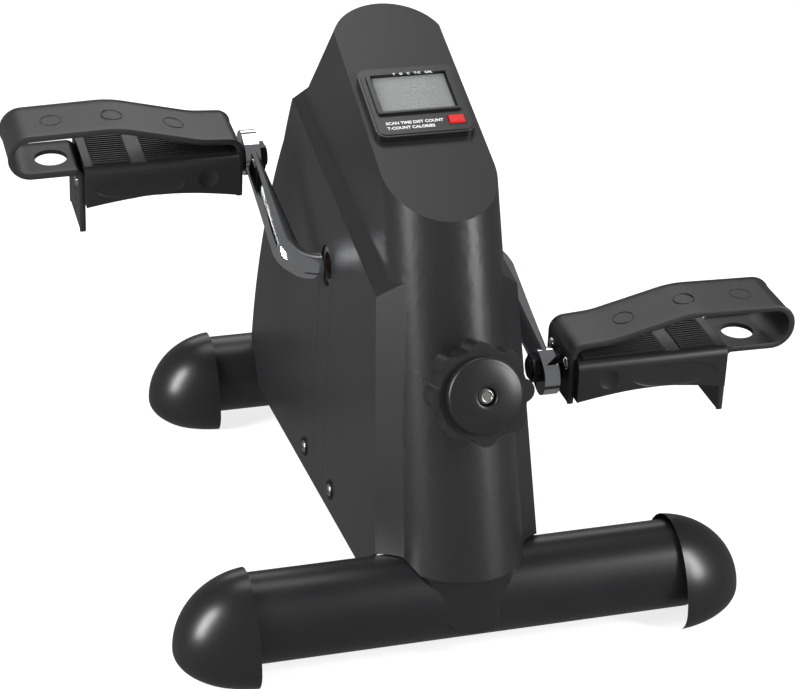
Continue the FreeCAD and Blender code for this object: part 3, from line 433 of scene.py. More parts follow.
@dataclass(frozen=True)
class Plastic(Finish):
    """Moulded plastic with a spark-eroded grain and faint flow marks."""

    colour: Point
    roughness: float = 0.4
    grain: float = 0.010
    grain_scale: float = 2600.0
    coat: float = 0.0

    def shade(self, g: Graph) -> None:
        """Wire the shader."""
        flow = g.noise(14.0, 3.0)
        fine = g.noise(self.grain_scale, 3.0, 0.6)
        scuffs = g.noise(60.0, 6.0, 0.7, (1.0, 1.0, 0.35)).between(0.56, 0.78)
        lighter = [c * 1.35 + 0.002 for c in self.colour]
        dull = flow * 0.05 + fine * 0.06 + scuffs * 0.04 + (self.roughness - 0.06)
        g.set(Base_Color=g.mix(flow, self.colour, lighter), IOR=1.49, Coat_Weight=self.coat,
              Coat_Roughness=0.25, Roughness=dull)
        g.relief(fine, self.grain)


@dataclass(frozen=True)
class Paint(Finish):
    """Powder coat on steel, with a light orange peel."""

    colour: Point
    roughness: float = 0.33

    def shade(self, g: Graph) -> None:
        """Wire the shader."""
        peel = g.noise(420.0, 2.0)
        cloud = g.noise(18.0, 3.0)
        specks = g.noise(3200.0, 2.0, 0.6)
        g.set(Base_Color=g.mix(cloud, self.colour, [c * 1.4 + 0.002 for c in self.colour]), IOR=1.5,
              Roughness=cloud * 0.07 + specks * 0.05 + (self.roughness - 0.06))
        g.relief(peel + specks * 0.25, 0.02)


@dataclass(frozen=True)
class Metal(Finish):
    """Plated or bare metal with fine drawing lines and faint smudges."""

    colour: Point
    roughness: float = 0.2
    lines: float = 0.004
    metallic: float = 1.0

    def shade(self, g: Graph) -> None:
        """Wire the shader."""
        smudge = g.noise(45.0, 5.0, 0.65).between(0.35, 0.75)
        drawn = g.noise(900.0, 2.0, 0.5, (0.06, 1.0, 1.0))
        dark = [c * 0.88 for c in self.colour]
        g.set(Base_Color=g.mix(smudge, self.colour, dark), Metallic=self.metallic,
              Roughness=smudge * 0.06 + drawn * 0.03 + (self.roughness - 0.03))
        g.relief(drawn, self.lines)


@dataclass(frozen=True)
class SoftPvc(Finish):
    """Flexible strap material: a skin with shallow creases and a dull bloom."""

    colour: Point
    roughness: float = 0.46

    def shade(self, g: Graph) -> None:
        """Wire the shader."""
        bloom = g.noise(38.0, 4.0, 0.6)
        skin = g.noise(1500.0, 3.0, 0.6)
        ripple = g.noise(130.0, 2.0, 0.5, (1.0, 0.3, 1.0))
        g.set(Base_Color=g.mix(bloom, self.colour, [c * 1.6 + 0.003 for c in self.colour]), IOR=1.52,
              Roughness=bloom * 0.1 + skin * 0.05 + (self.roughness - 0.07))
        g.relief(skin * 0.4 + ripple, 0.035)


@dataclass(frozen=True)
class Lens(Finish):
    """Clear window over the display."""

    def shade(self, g: Graph) -> None:
        """Wire the shader."""
        haze = g.noise(160.0, 4.0)
        g.set(Base_Color=g.mix(haze, (0.80, 0.84, 0.82), (0.74, 0.79, 0.77)), Alpha=0.16,
              Roughness=haze * 0.06 + 0.03, IOR=1.49)


@dataclass(frozen=True)
class Display(Finish):
    """Reflective liquid crystal cell with a faint haze."""

    colour: Point

    def shade(self, g: Graph) -> None:
        """Wire the shader."""
        cloud = g.noise(90.0, 3.0)
        fine = g.noise(4000.0, 2.0)
        g.set(Base_Color=g.mix(cloud, self.colour, [c * 1.25 for c in self.colour]),
              Roughness=fine * 0.08 + 0.30, IOR=1.5)
        g.relief(fine, 0.004)


@dataclass(frozen=True)
class Felt(Finish):
    """Hard brake felt."""

    colour: Point

    def shade(self, g: Graph) -> None:
        """Wire the shader."""
        fibre = g.noise(1400.0, 6.0, 0.75)
        g.set(Base_Color=g.mix(fibre, self.colour, [c * 1.8 for c in self.colour]),
              Roughness=fibre * 0.1 + 0.85)
        g.relief(fibre, 0.3)


FINISHES = {
    "housing_plastic": Plastic("satin_housing", (0.0125, 0.0125, 0.0135), 0.36, 0.012, 2300.0),
    "cap_plastic": Plastic("cap_plastic", (0.010, 0.010, 0.0105), 0.30, 0.006, 2600.0),
    "painted_steel": Paint("black_powder_coat", (0.009, 0.009, 0.010), 0.33),
    "chrome_steel": Metal("chrome_plate", (0.82, 0.83, 0.85), 0.07, 0.0015),
    "zinc_steel": Metal("zinc_plate", (0.58, 0.58, 0.57), 0.30),
    "dark_steel": Metal("black_oxide", (0.045, 0.045, 0.05), 0.38),
    "bronze": Metal("sintered_bronze", (0.50, 0.33, 0.16), 0.45, 0.01),
    "knob_plastic": Plastic("knob_plastic", (0.0105, 0.0105, 0.011), 0.36, 0.012, 2100.0),
    "pedal_plastic": Plastic("pedal_plastic", (0.0125, 0.0125, 0.0135), 0.38, 0.012, 2100.0),
    "strap_pvc": SoftPvc("strap_pvc", (0.013, 0.013, 0.014)),
    "bezel_plastic": Plastic("bezel_plastic", (0.008, 0.008, 0.0085), 0.30, 0.004, 3000.0, 0.3),
    "lens_clear": Lens("clear_window"),
    "lcd_face": Display("display_cell", (0.040, 0.050, 0.045)),
    "board_green": Plastic("board_green", (0.02, 0.09, 0.03), 0.35, 0.004),
    "cell_label": Plastic("cell_label", (0.06, 0.06, 0.065), 0.35, 0.003),
    "button_red": Plastic("red_plastic", (0.52, 0.012, 0.010), 0.34, 0.006),
    "sensor_black": Plastic("sensor_black", (0.02, 0.02, 0.02), 0.5),
    "magnet_grey": Metal("nickel_plate", (0.50, 0.50, 0.49), 0.28),
    "friction_felt": Felt("brake_felt", (0.10, 0.085, 0.07)),
}
PRINT_WHITE = Plastic("printed_white", (0.72, 0.72, 0.72), 0.5, 0.002)
SEGMENT_DARK = Plastic("display_segments", (0.012, 0.015, 0.013), 0.4, 0.002)


class Wardrobe:
    """Builds each finish once and puts it on pieces."""

    def __init__(self) -> None:
        """Start empty."""
        self.made: dict[str, Material] = {}

    def get(self, finish: Finish) -> Material:
        """The material of a finish."""
        if finish.name not in self.made:
            self.made[finish.name] = finish.build()
        return self.made[finish.name]

    def wear(self, obj: Piece, finish: Finish) -> None:
        """Dress a piece in one finish."""
        obj.data.materials.clear()
        obj.data.materials.append(self.get(finish))

    def dress_nodes(self) -> None:
        """Give every CAD node the finish of its slot through its material slots."""
        for row in frame["record"]["subparts"]:
            node = frame["nodes"][row["node"]]
            for holder in node.material_slots:
                holder.material = self.get(FINISHES[row["material_slot"]])


WARDROBE = Wardrobe()


def fit(piece: Piece, body: str, slot: str, nodes: Iterable[str] = (),
        finish: Finish | None = None) -> Piece:
    """Dress a finished piece, put it on its body and hide the CAD nodes that it replaces.

    Args:
        piece: the finished mesh.
        body: the CAD body that carries it.
        slot: the record's material slot.
        nodes: CAD nodes that it replaces.
        finish: a finish other than the slot's own.

    Returns:
        The piece.
    """
    WARDROBE.wear(piece, finish or FINISHES[slot])
    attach(piece, body)
    names = list(nodes)
    if names:
        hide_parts(*names)
    log.info("piece %s: %d faces on %s, %s mm", piece.name, len(piece.data.polygons), body,
             [round(size / MM, 1) for size in piece.dimensions])
    return piece


def joint(name: str) -> dict[str, object]:
    """One joint of the frame by name."""
    return next(j for j in frame["joints"] if j["name"] == name)


def node_box(node: str) -> tuple[Vector, Vector]:
    """A CAD node's lowest and highest corners in millimetres."""
    low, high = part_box(node)
    return Vector(low) / MM, Vector(high) / MM


# ---------------------------------------------------------------- feet and frame
@dataclass
class Feet:
    """Two painted foot tubes with moulded, domed end caps."""

    lip_wide: float = 4.6
    lip_proud: float = 1.9
    lip_round: float = 1.1
    lip_rise: float = 7.0
    belly_z: float = 14.0
    base_semi: float = 22.0
    wall: float = 1.5
    names: tuple[str, ...] = ("front_left", "front_right", "rear_left", "rear_right")

    def cap(self, name: str) -> Piece:
        """One end cap in the place of its CAD node."""
        low, high = node_box(name + "_end_cap")
        side = 1 if high.x > 0 else -1
        rim, tip = (low.x, high.x) if side > 0 else (high.x, low.x)
        y, half, top = (low.y + high.y) / 2, (high.y - low.y) / 2, high.z - self.belly_z
        centre = (rim, y, self.belly_z)
        dome = Bench.ball(name + "_cap", 1.0, centre, FACING_X, 128, 64)
        Bench.stretch(dome, (abs(tip - rim), half, top), centre)
        Bench.edit(dome, lambda at, _: at.z < self.belly_z - 0.01, Pick.VERTS)
        Bench.swell((1, 1, self.base_semi / top), centre)
        edge = rim + side * self.lip_wide
        Bench.slice((edge, y, 0), (side, 0, 0), fill=False)
        Bench.slice((rim, y, 0), (0, 0, 1))
        Bench.done(dome)
        Bench.edit(dome, lambda at, _: abs(at.x - edge) < 0.01, Pick.VERTS)
        grow = 1 + self.lip_proud / half
        middle = (edge, y, self.belly_z + self.lip_rise)
        for step, scale in ((0.0, grow), (-side * self.lip_wide, 1.0), (0.0, 0.90), (side * 3.0, 0.995),
                            (0.0, 0.75)):
            Bench.push((step, 0, 0))
            Bench.swell((1, scale, scale), middle)
        bpy.ops.mesh.edge_face_add()
        Bench.done(dome)
        Bench.stretch(dome, (1, 1, 0), (rim, y, 0.02), lambda at, _: at.z < 0.05)
        Bench.edit(dome)
        bpy.ops.mesh.normals_make_consistent(inside=False)
        Bench.done(dome)
        Bench.round_off(dome, self.lip_round, 3, 38)
        return Bench.smooth(dome, 40)

    def tube(self, node: str) -> Piece:
        """A foot tube with a wall and softened ends."""
        low, high = node_box(node)
        middle = (low + high) / 2
        radius = (high.z - low.z) / 2
        pipe = Bench.cylinder(node + "_painted", radius, (low.x, middle.y, middle.z),
                              (high.x, middle.y, middle.z), 160)
        Bench.edit(pipe, lambda _, n: abs(n.x) > 0.9)
        bpy.ops.mesh.inset(thickness=self.wall * MM)
        bpy.ops.mesh.delete(type="FACE")
        bore = radius - self.wall + 0.5
        Bench.edit(pipe, lambda at, _: math.hypot(at.y - middle.y, at.z - middle.z) < bore, Pick.EDGES)
        bpy.ops.mesh.bridge_edge_loops()
        Bench.done(pipe)
        Bench.round_off(pipe, 0.3, 2)
        return Bench.smooth(pipe)

    def build(self) -> None:
        """Make all caps and tubes."""
        for name in self.names:
            fit(self.cap(name), "root", "cap_plastic", [name + "_end_cap"])
        for node in ("front_tube", "rear_tube"):
            fit(self.tube(node), "root", "painted_steel", [node])
        saddle = Bench.round_off(Bench.from_node("front_saddle", "saddle_skirt"), 0.8, 2, 40)
        fit(Bench.smooth(saddle), "root", "painted_steel", ["front_saddle"])


# ---------------------------------------------------------------- housing
@dataclass
class Housing:
    """The moulded shell with softened edges, its slot covers and cover screws."""

    edge_round: float = 1.6
    screw_head: float = 4.0
    head_sink: float = 1.6
    cross_long: float = 2.4
    cross_half: float = 0.5
    cross_deep: float = 1.2
    cross_sink: float = 0.4
    ring_radius: float = 5.2
    ring_thick: float = 0.9
    ring_sink: float = 1.7

    def shell(self) -> Piece:
        """The housing with rounded edges."""
        skin = Bench.from_node("main_housing", "housing_shell")
        Bench.round_off(skin, self.edge_round, 3, 28)
        return Bench.smooth(skin, 30)

    def cover(self, side: str) -> Piece:
        """One slot cover."""
        return Bench.smooth(Bench.from_node(side + "_slot_cover", side + "_cover_strip"), 30)

    def screw_spots(self) -> list[tuple[int, float, float, float]]:
        """Side and outermost point of each cover screw."""
        low, high = node_box("slot_cover_screws")
        radius = (high.z - low.z) / 2
        return [(side, x, y, (low.z + high.z) / 2)
                for side, x in ((-1, low.x), (1, high.x)) for y in (low.y + radius, high.y - radius)]

    def screws(self) -> Piece:
        """Pan-head screws with a cross recess."""
        heads = []
        for side, x, y, z in self.screw_spots():
            spot = (x - side * self.head_sink, y, z)
            head = Bench.ball("screw", self.screw_head, spot, FACING_X, 32, 16)
            Bench.stretch(head, (0.45, 1, 1), spot)
            bottom = side * self.cross_sink
            for wide, tall in ((self.cross_half, self.cross_long), (self.cross_long, self.cross_half)):
                Bench.carve(head, Bench.block("cross", (x - self.cross_deep - bottom, y - wide, z - tall),
                                              (x + self.cross_deep - bottom, y + wide, z + tall)))
            heads.append(Bench.smooth(head))
        return Bench.join(heads, "cover_screw_heads")

    def washers(self) -> Piece:
        """Dark dished rings that the screws sit in."""
        rings = [Bench.bead("washer", self.ring_radius, self.ring_thick, (x - side * self.ring_sink, y, z),
                            FACING_X) for side, x, y, z in self.screw_spots()]
        return Bench.smooth(Bench.join(rings, "cover_screw_rings"), 60)

    def build(self) -> None:
        """Make the housing's pieces."""
        fit(self.shell(), "root", "housing_plastic", ["main_housing"])
        for side in ("left", "right"):
            fit(self.cover(side), "root", "housing_plastic", [side + "_slot_cover"])
        fit(self.screws(), "root", "zinc_steel", ["slot_cover_screws"])
        fit(self.washers(), "root", "dark_steel")


# ---------------------------------------------------------------- crank
@dataclass
class Crank:
    """One-piece chromed crank: shaft, bends, slanting arms and forged eyes."""

    rod: float = 8.0
    arm: float = 84.0
    overhang: float = 6.0
    angle: float = math.radians(33.5)
    corner_x: float = 60.0
    eye_x: float = 69.0
    bend: float = 18.0
    eye_r: float = 11.0
    eye_thick: float = 9.0
    neck: float = 28.0
    flare: tuple[float, ...] = (0.10, 0.40, 0.42, 0.08)
    flare_step: float = 5.0
    root: float = 8.0

    def half(self, side: int) -> Piece:
        """Half of the crank in the plane of its arms, standing up from the origin."""
        slant = Vector((side * (self.eye_x - self.corner_x), 0, self.arm)).normalized()
        turn = math.acos(side * slant.x)
        back = self.bend * math.tan(turn / 2)
        start = side * (self.corner_x - back)
        bar = Bench.ring("crank_half", self.rod, (0, 0, 0), (1, 0, 0), 64)
        Bench.edit(bar)
        for _ in range(3):
            Bench.push((start / 3, 0, 0))
        Bench.wheel((start, 0, self.bend), (0, -side, 0), turn, 24)
        eye = Vector((side * self.eye_x, 0, self.arm))
        straight = (eye - Vector((side * self.corner_x, 0, 0))).length - back - self.neck
        for _ in range(4):
            Bench.push(tuple(slant * straight / 4))
        here = eye - slant * self.neck
        thick, wide = self.rod, self.rod
        for share in self.flare:
            Bench.push(tuple(slant * self.flare_step))
            here = here + slant * self.flare_step
            new_thick = thick - share * (self.rod - self.eye_thick / 2 + 0.9)
            new_wide = wide + share * (self.eye_r - 0.4 - self.rod)
            Bench.swell((new_thick / thick, new_wide / wide, 1), tuple(here))
            thick, wide = new_thick, new_wide
        Bench.push(tuple(slant * self.root))
        bpy.ops.mesh.edge_face_add()
        Bench.done(bar)
        low, high = eye.x - self.eye_thick / 2, eye.x + self.eye_thick / 2
        disc = Bench.cylinder("eye", self.eye_r, (low, 0, eye.z), (high, 0, eye.z), 96)
        tip = eye.z + self.overhang
        Bench.carve(disc, Bench.block("cheek", (low, -self.eye_r, eye.z), (high, self.eye_r, tip)), add=True)
        Bench.carve(disc, Bench.cylinder("tip", self.eye_r, (low, 0, tip), (high, 0, tip), 96), add=True)
        return Bench.join([bar, Bench.round_off(disc, 1.6, 4, 40)], "crank_half")

    def build(self) -> None:
        """Make the crank at its resting angle."""
        origin = Vector(joint("crank_spin")["pos_m"])
        tilt = Matrix.Rotation(self.angle - math.pi / 2, 4, "X")
        upright = Matrix.Translation(origin) @ tilt
        left = Bench.place(self.half(-1), upright)
        right = Bench.place(self.half(1), upright @ Matrix.Rotation(math.pi, 4, "X"))
        whole = Bench.heal(Bench.join([left, right], "crank_chromed"), 0.02)
        fit(Bench.smooth(whole, 35), "crank", "chrome_steel", ["crank_rod"])


# ---------------------------------------------------------------- pedals
@dataclass
class Pedal:
    """A ribbed pedal with its strap, drawn as a right-hand one about its own axle."""

    inner: float = 80.6
    outer: float = 170.2
    half: float = 26.0
    top: float = 13.5
    bottom: float = -11.0
    arch: float = 4.8
    wall: float = 3.0
    slices: int = 16
    rib_pitch: float = 2.5
    rib_half: float = 0.55
    rib_margin: float = 7.0
    hub_r: float = 9.5
    boss_r: float = 12.0
    web_half: float = 1.2
    peg_y: float = 12.0
    tilts: dict[str, float] = field(default_factory=lambda: {"left": 10.0, "right": 5.5})

    def body(self) -> Piece:
        """The moulded block: arched underside, rounded edges, hollow below."""
        span = self.outer - self.inner
        block = Bench.block("pedal", (self.inner, -self.half, self.bottom), (self.outer, self.half, self.top))
        for k in range(1, self.slices):
            Bench.edit(block)
            Bench.slice((self.inner + span * k / self.slices, 0, 0), (1, 0, 0), drop=False, fill=False)
            Bench.done(block)
        for vert in block.data.vertices:
            if vert.co.z < 0:
                share = (vert.co.x / MM - self.inner) / span
                vert.co.z += self.arch * MM * math.sin(math.pi * share)
        side, top = self.half - 0.01, self.top - 0.01
        Bench.round_edges(block, lambda at, _: abs(at.y) > side and at.z > top, 5.0, 6)
        hollow = Bench.block("hollow", (self.inner + self.wall, -self.half + self.wall, self.bottom - 4),
                             (self.outer - self.wall, self.half - self.wall, self.top - 4))
        for tool in (hollow, self.dimple(), self.lens()):
            Bench.carve(block, tool)
        return Bench.round_off(block, 1.0, 3, 50)

    def dimple(self) -> Piece:
        """Ball that presses the round dimple in the front face."""
        at = (self.inner + 18.5, -self.half - 13.3, 1.5)
        return Bench.ball("dimple", 14.7, at, (math.pi / 2, 0, 0), 96, 48)

    def lens(self) -> Piece:
        """Flattened ball that presses the long relief in the front face."""
        centre = (self.outer - 31.0, -self.half, 0.5)
        return Bench.stretch(Bench.ball("lens", 1.0, centre, (0, 0, 0), 64, 32), (26.0, 1.1, 7.5), centre)

    def ribs(self) -> Piece:
        """Fine tread ribs in two fields, with a smooth cross band between them."""
        fields = ((self.inner + 4.0, self.outer - 36.0), (self.outer - 27.0, self.outer - 5.0))
        count = int(2 * (self.half - self.rib_margin) / self.rib_pitch)
        ribs = []
        for k in range(count + 1):
            y = -self.half + self.rib_margin + k * self.rib_pitch
            ribs += [Bench.block("rib", (start, y - self.rib_half, self.top - 0.5),
                                 (end, y + self.rib_half, self.top + 0.75)) for start, end in fields]
        return Bench.round_off(Bench.join(ribs, "ribs"), 0.25, 2)

    def hub(self) -> list[Piece]:
        """The axle hub with a shoulder ring and inner webs."""
        barrel = Bench.cylinder("hub", self.hub_r, (self.inner - 3, 0, 0), (self.outer - 18, 0, 0), 64)
        boss = Bench.cylinder("boss", self.boss_r, (self.inner - 1.0, 0, 0), (self.inner + 4, 0, 0), 64)
        low, high = self.bottom + 7, self.top - self.wall
        side, half = self.half - 2, self.web_half
        webs = [Bench.block("web", (x - half, -side, low), (x + half, side, high))
                for x in (self.inner + 24, (self.inner + self.outer) / 2, self.outer - 24)]
        webs.append(Bench.block("spine", (self.inner + 2, -1.5, low), (self.outer - 2, 1.5, high)))
        return [Bench.round_off(barrel, 0.6), Bench.round_off(boss, 0.8), *webs]

    def pegs(self) -> Piece:
        """Bright mushroom pegs that hold both strap ends."""
        pegs = []
        for end, out, z in ((self.outer, 1, 0.5), (self.inner, -1, 7.5)):
            for y in (-self.peg_y, self.peg_y):
                spot = (end + out * 3.0, y, z)
                pegs.append(Bench.cylinder("neck", 2.0, (end - out, y, z), spot, 32))
                pegs.append(Bench.stretch(Bench.ball("head", 3.6, spot, FACING_X, 32, 16), (0.5, 1, 1), spot))
        return Bench.join(pegs, "pegs")

    def matrix(self, side: str) -> Matrix:
        """Where a right-hand drawing goes on one side."""
        eye = Vector(joint(side + "_pedal_spin")["pos_m"])
        flip = Matrix.Scale(-1, 4, (1, 0, 0)) if side == "left" else Matrix.Identity(4)
        tilt = Matrix.Rotation(math.radians(self.tilts[side]), 4, "X")
        return Matrix.Translation((0, eye.y, eye.z)) @ tilt @ flip

    def build(self) -> None:
        """Make both pedals with straps and pegs."""
        block = Bench.join([self.body(), self.ribs(), *self.hub()], "pedal_pattern")
        pegs = self.pegs()
        strap = Strap().build()
        for side in ("left", "right"):
            for pattern, slot, stem, angle in ((block, "pedal_plastic", "pedal_body", 35),
                                               (pegs, "chrome_steel", "strap_pegs", 50),
                                               (strap, "strap_pvc", "pedal_strap", 40)):
                node = side + "_" + stem
                piece = Bench.place(Bench.copy(pattern, node + "_finished"), self.matrix(side))
                fit(Bench.smooth(piece, angle), side + "_pedal", slot, [node])
        for pattern in (block, pegs, strap):
            bpy.data.objects.remove(pattern)


@dataclass
class Strap:
    """Soft strap over a pedal, with raised edges, embossed rings, a window and pointed tails."""

    half: float = 19.5
    thick: float = 2.6
    bead: float = 0.55
    bead_wide: float = 1.6
    inner: float = 79.2
    inner_tail: float = -15.0
    outer: float = 171.6
    outer_tail: float = -30.0
    nose: float = 211.5
    step: float = 6.0
    window: float = 9.5
    window_out: float = 15.0
    hub_hole: float = 9.8
    tail_hole: float = 1.3
    ring: float = 6.0
    ring_thick: float = 0.32

    def route(self) -> list[tuple[float, float, float]]:
        """Corners of the strap's middle line (x, z), each with its radius."""
        return [(self.inner, self.inner_tail, 0), (self.inner, 20.2, 7.0), (102.0, 21.6, 60.0),
                (150.0, 33.6, 60.0), (self.nose, 31.8, 11.2), (self.nose, 8.2, 11.5), (self.outer, 8.8, 4.0),
                (self.outer, self.outer_tail, 0)]

    def profile(self) -> Piece:
        """Cross-section loop at the start of the route: flat middle and thicker rims."""
        x, z, _ = self.route()[0]
        t, b, h, w = self.thick / 2, self.bead, self.half, self.bead_wide
        quarter = [(h, 0.5 * t), (h - 0.5, t + b * 0.8), (h - 1.0, t + b), (h - w, t + b * 0.6),
                   (h - w - 0.5, t), (13.0, t), (7.0, t), (2.0, t)]
        loop = quarter + [(-y, s) for y, s in reversed(quarter)]
        loop += [(-y, -s) for y, s in quarter] + [(y, -s) for y, s in reversed(quarter)]
        return Bench.outline("strap", [(x + s, y, z) for y, s in loop], closed=True)

    def sweep(self, obj: Piece) -> Piece:
        """Carry the cross-section along the route with extrusions and spins."""
        points = [Vector((x, 0, z)) for x, z, _ in self.route()]
        radii = [radius for *_, radius in self.route()]
        Bench.edit(obj)
        bpy.ops.mesh.edge_face_add()
        here = points[0]
        for k in range(1, len(points)):
            run = (points[k] - points[k - 1]).normalized()
            bends = k < len(points) - 1
            after = (points[k + 1] - points[k]).normalized() if bends else run
            turn = run.angle(after) if bends else 0.0
            back = radii[k] * math.tan(turn / 2)
            stop = points[k] - run * back
            steps = max(1, round((stop - here).length / self.step))
            for _ in range(steps):
                Bench.push(tuple((stop - here) / steps))
            if bends:
                axis = Vector((0, 1 if run.cross(after).y > 0 else -1, 0))
                centre = stop + axis.cross(run) * radii[k]
                Bench.wheel(tuple(centre), tuple(axis), turn, max(6, round(math.degrees(turn) / 7)))
            here = points[k] + after * back
        return Bench.heal(obj, 0.02)

    def trim(self, obj: Piece) -> None:
        """Cut the pointed tails, the window, the clearance for the hub and the tail holes."""
        for x, low, tip in ((self.inner, self.inner_tail, 4.0), (self.outer, self.outer_tail, 3.0)):
            for side in (-1, 1):
                wedge = Bench.block("wedge", (x - 6, 0, low - 24), (x + 6, 24, low))
                turn = Matrix.Rotation(math.radians(-30 * side), 4, "X")
                wedge = Bench.place(wedge, Matrix.Translation(Vector((0, side * tip, low - 1)) * MM) @ turn
                                    @ Matrix.Scale(side, 4, (0, 1, 0))
                                    @ Matrix.Translation(Vector((0, 0, -low)) * MM))
                Bench.carve(obj, wedge)
        window_x = self.outer + self.window_out
        Bench.carve(obj, Bench.cylinder("window", self.window, (window_x, 0, 0), (window_x, 0, 20), 48))
        Bench.carve(obj, Bench.cylinder("hub", self.hub_hole, (72, 0, 0), (81, 0, 0), 48))
        for z in (-12.0, -18.0, -24.0):
            Bench.carve(obj, Bench.cylinder("hole", self.tail_hole, (164, 0, z), (180, 0, z), 20))

    def emboss(self) -> list[Piece]:
        """Raised rings on the strap's upper face."""
        spots = ((115.0, 26.2, 0.245), (151.0, 34.4, 0.11), (186.0, 33.85, -0.029))
        return [Bench.bead("emboss", self.ring, self.ring_thick, (x, 0, z), (0, -slope, 0))
                for x, z, slope in spots]

    def build(self) -> Piece:
        """The whole strap as a pattern."""
        strap = self.sweep(self.profile())
        self.trim(strap)
        return Bench.join([strap, *self.emboss()], "strap_pattern")


# ---------------------------------------------------------------- knob
@dataclass
class Knob:
    """Eight-lobed hand knob with a domed disc and a bolt end in its middle."""

    lobes: int = 8
    reach: float = 27.8
    core: float = 24.1
    lobe: float = 6.4
    flute: float = 5.4
    disc: float = 20.5
    face: float = 36.5
    skirt_low: float = 11.5
    skirt_high: float = 29.5
    bore: float = 4.9
    land: float = 6.4
    roll: float = 2.2
    dish: float = 2.0
    neck: float = 11.0
    bolt: float = 3.4

    def post(self, radius: float, out: float, turn: float, spare: float) -> Piece:
        """A cylinder along the skirt at a distance and a turn from the knob's axis."""
        x, y = out * math.cos(turn), out * math.sin(turn)
        low, high = self.skirt_low - spare, self.skirt_high + spare
        return Bench.cylinder("post", radius, (x, y, low), (x, y, high), 48)

    def skirt(self) -> Piece:
        """The skirt: a core with eight lobes welded on and eight flutes cut between them."""
        base = Bench.cylinder("skirt", self.core, (0, 0, self.skirt_low), (0, 0, self.skirt_high), 128)
        pitch = 2 * math.pi / self.lobes
        for k in range(self.lobes):
            Bench.carve(base, self.post(self.lobe, self.reach - self.lobe, pitch * k, 0.0), add=True)
        for k in range(self.lobes):
            Bench.carve(base, self.post(self.flute, self.reach + 1.8, pitch * (k + 0.5), 2.0))
        return Bench.round_off(base, 1.5, 4, 50)

    def cap(self) -> Piece:
        """The raised disc, spun from its section, with a rolled edge and a centre hole."""
        face, flat = self.face, self.disc - self.roll
        section = [(self.bore, face - 5.0), (self.bore, face - 0.9), (self.bore + 0.5, face - 0.25),
                   (self.land, face)]
        for k in range(1, 9):
            section.append((self.land + (flat - self.land) * k / 8, face - self.dish * (k / 8) ** 2))
        section += [(flat + self.roll * math.sin(a), face - self.dish - self.roll * (1 - math.cos(a)))
                    for a in (0.4, 0.8, 1.2, math.pi / 2)]
        section += [(self.disc, self.skirt_high - 1.5)]
        cap = Bench.outline("cap", [(r, 0, z) for r, z in section], closed=False)
        Bench.edit(cap)
        Bench.wheel((0, 0, 0), (0, 0, 1), 2 * math.pi, 128)
        Bench.done(cap)
        return Bench.heal(cap, 0.01)

    def matrix(self) -> Matrix:
        """From a drawing on Z, outwards up, to the knob's axis on the column."""
        turn = joint("knob_turn")
        out = -Vector(turn["axis"])
        return Matrix.Translation(Vector(turn["pos_m"])) @ out.to_track_quat("Z", "X").to_matrix().to_4x4()

    def build(self) -> None:
        """Make the knob and the bolt's end."""
        neck = Bench.cylinder("neck", self.neck, (0, 0, 3.0), (0, 0, self.skirt_low + 1), 64)
        floor = Bench.cylinder("floor", 5.4, (0, 0, self.face - 7), (0, 0, self.face - 5), 48)
        whole = Bench.join([self.skirt(), self.cap(), neck, floor], "knob_moulded")
        fit(Bench.smooth(Bench.place(whole, self.matrix()), 40), "knob", "knob_plastic", ["tension_knob"])
        bolt = Bench.cylinder("bolt_end", self.bolt, (0, 0, self.face - 6), (0, 0, self.face - 1.2), 48)
        Bench.edit(bolt, lambda _, n: n.z > 0.9)
        bpy.ops.mesh.inset(thickness=0.8 * MM)
        Bench.push((0, 0, -0.5))
        Bench.done(bolt)
        Bench.round_off(bolt, 0.35, 3)
        fit(Bench.smooth(Bench.place(bolt, self.matrix())), "knob", "zinc_steel")


# ---------------------------------------------------------------- console
class Legend(Enum):
    """Generic words printed on the bezel: text, size, and place (x, along the face)."""

    MODES = ("T    D    C    T-C    CAL", 1.8, -8.5, 19.0)
    FIRST = ("SCAN TIME DIST COUNT", 2.3, -21.4, -18.2)
    SECOND = ("T-COUNT CALORIES", 2.3, -21.4, -22.0)


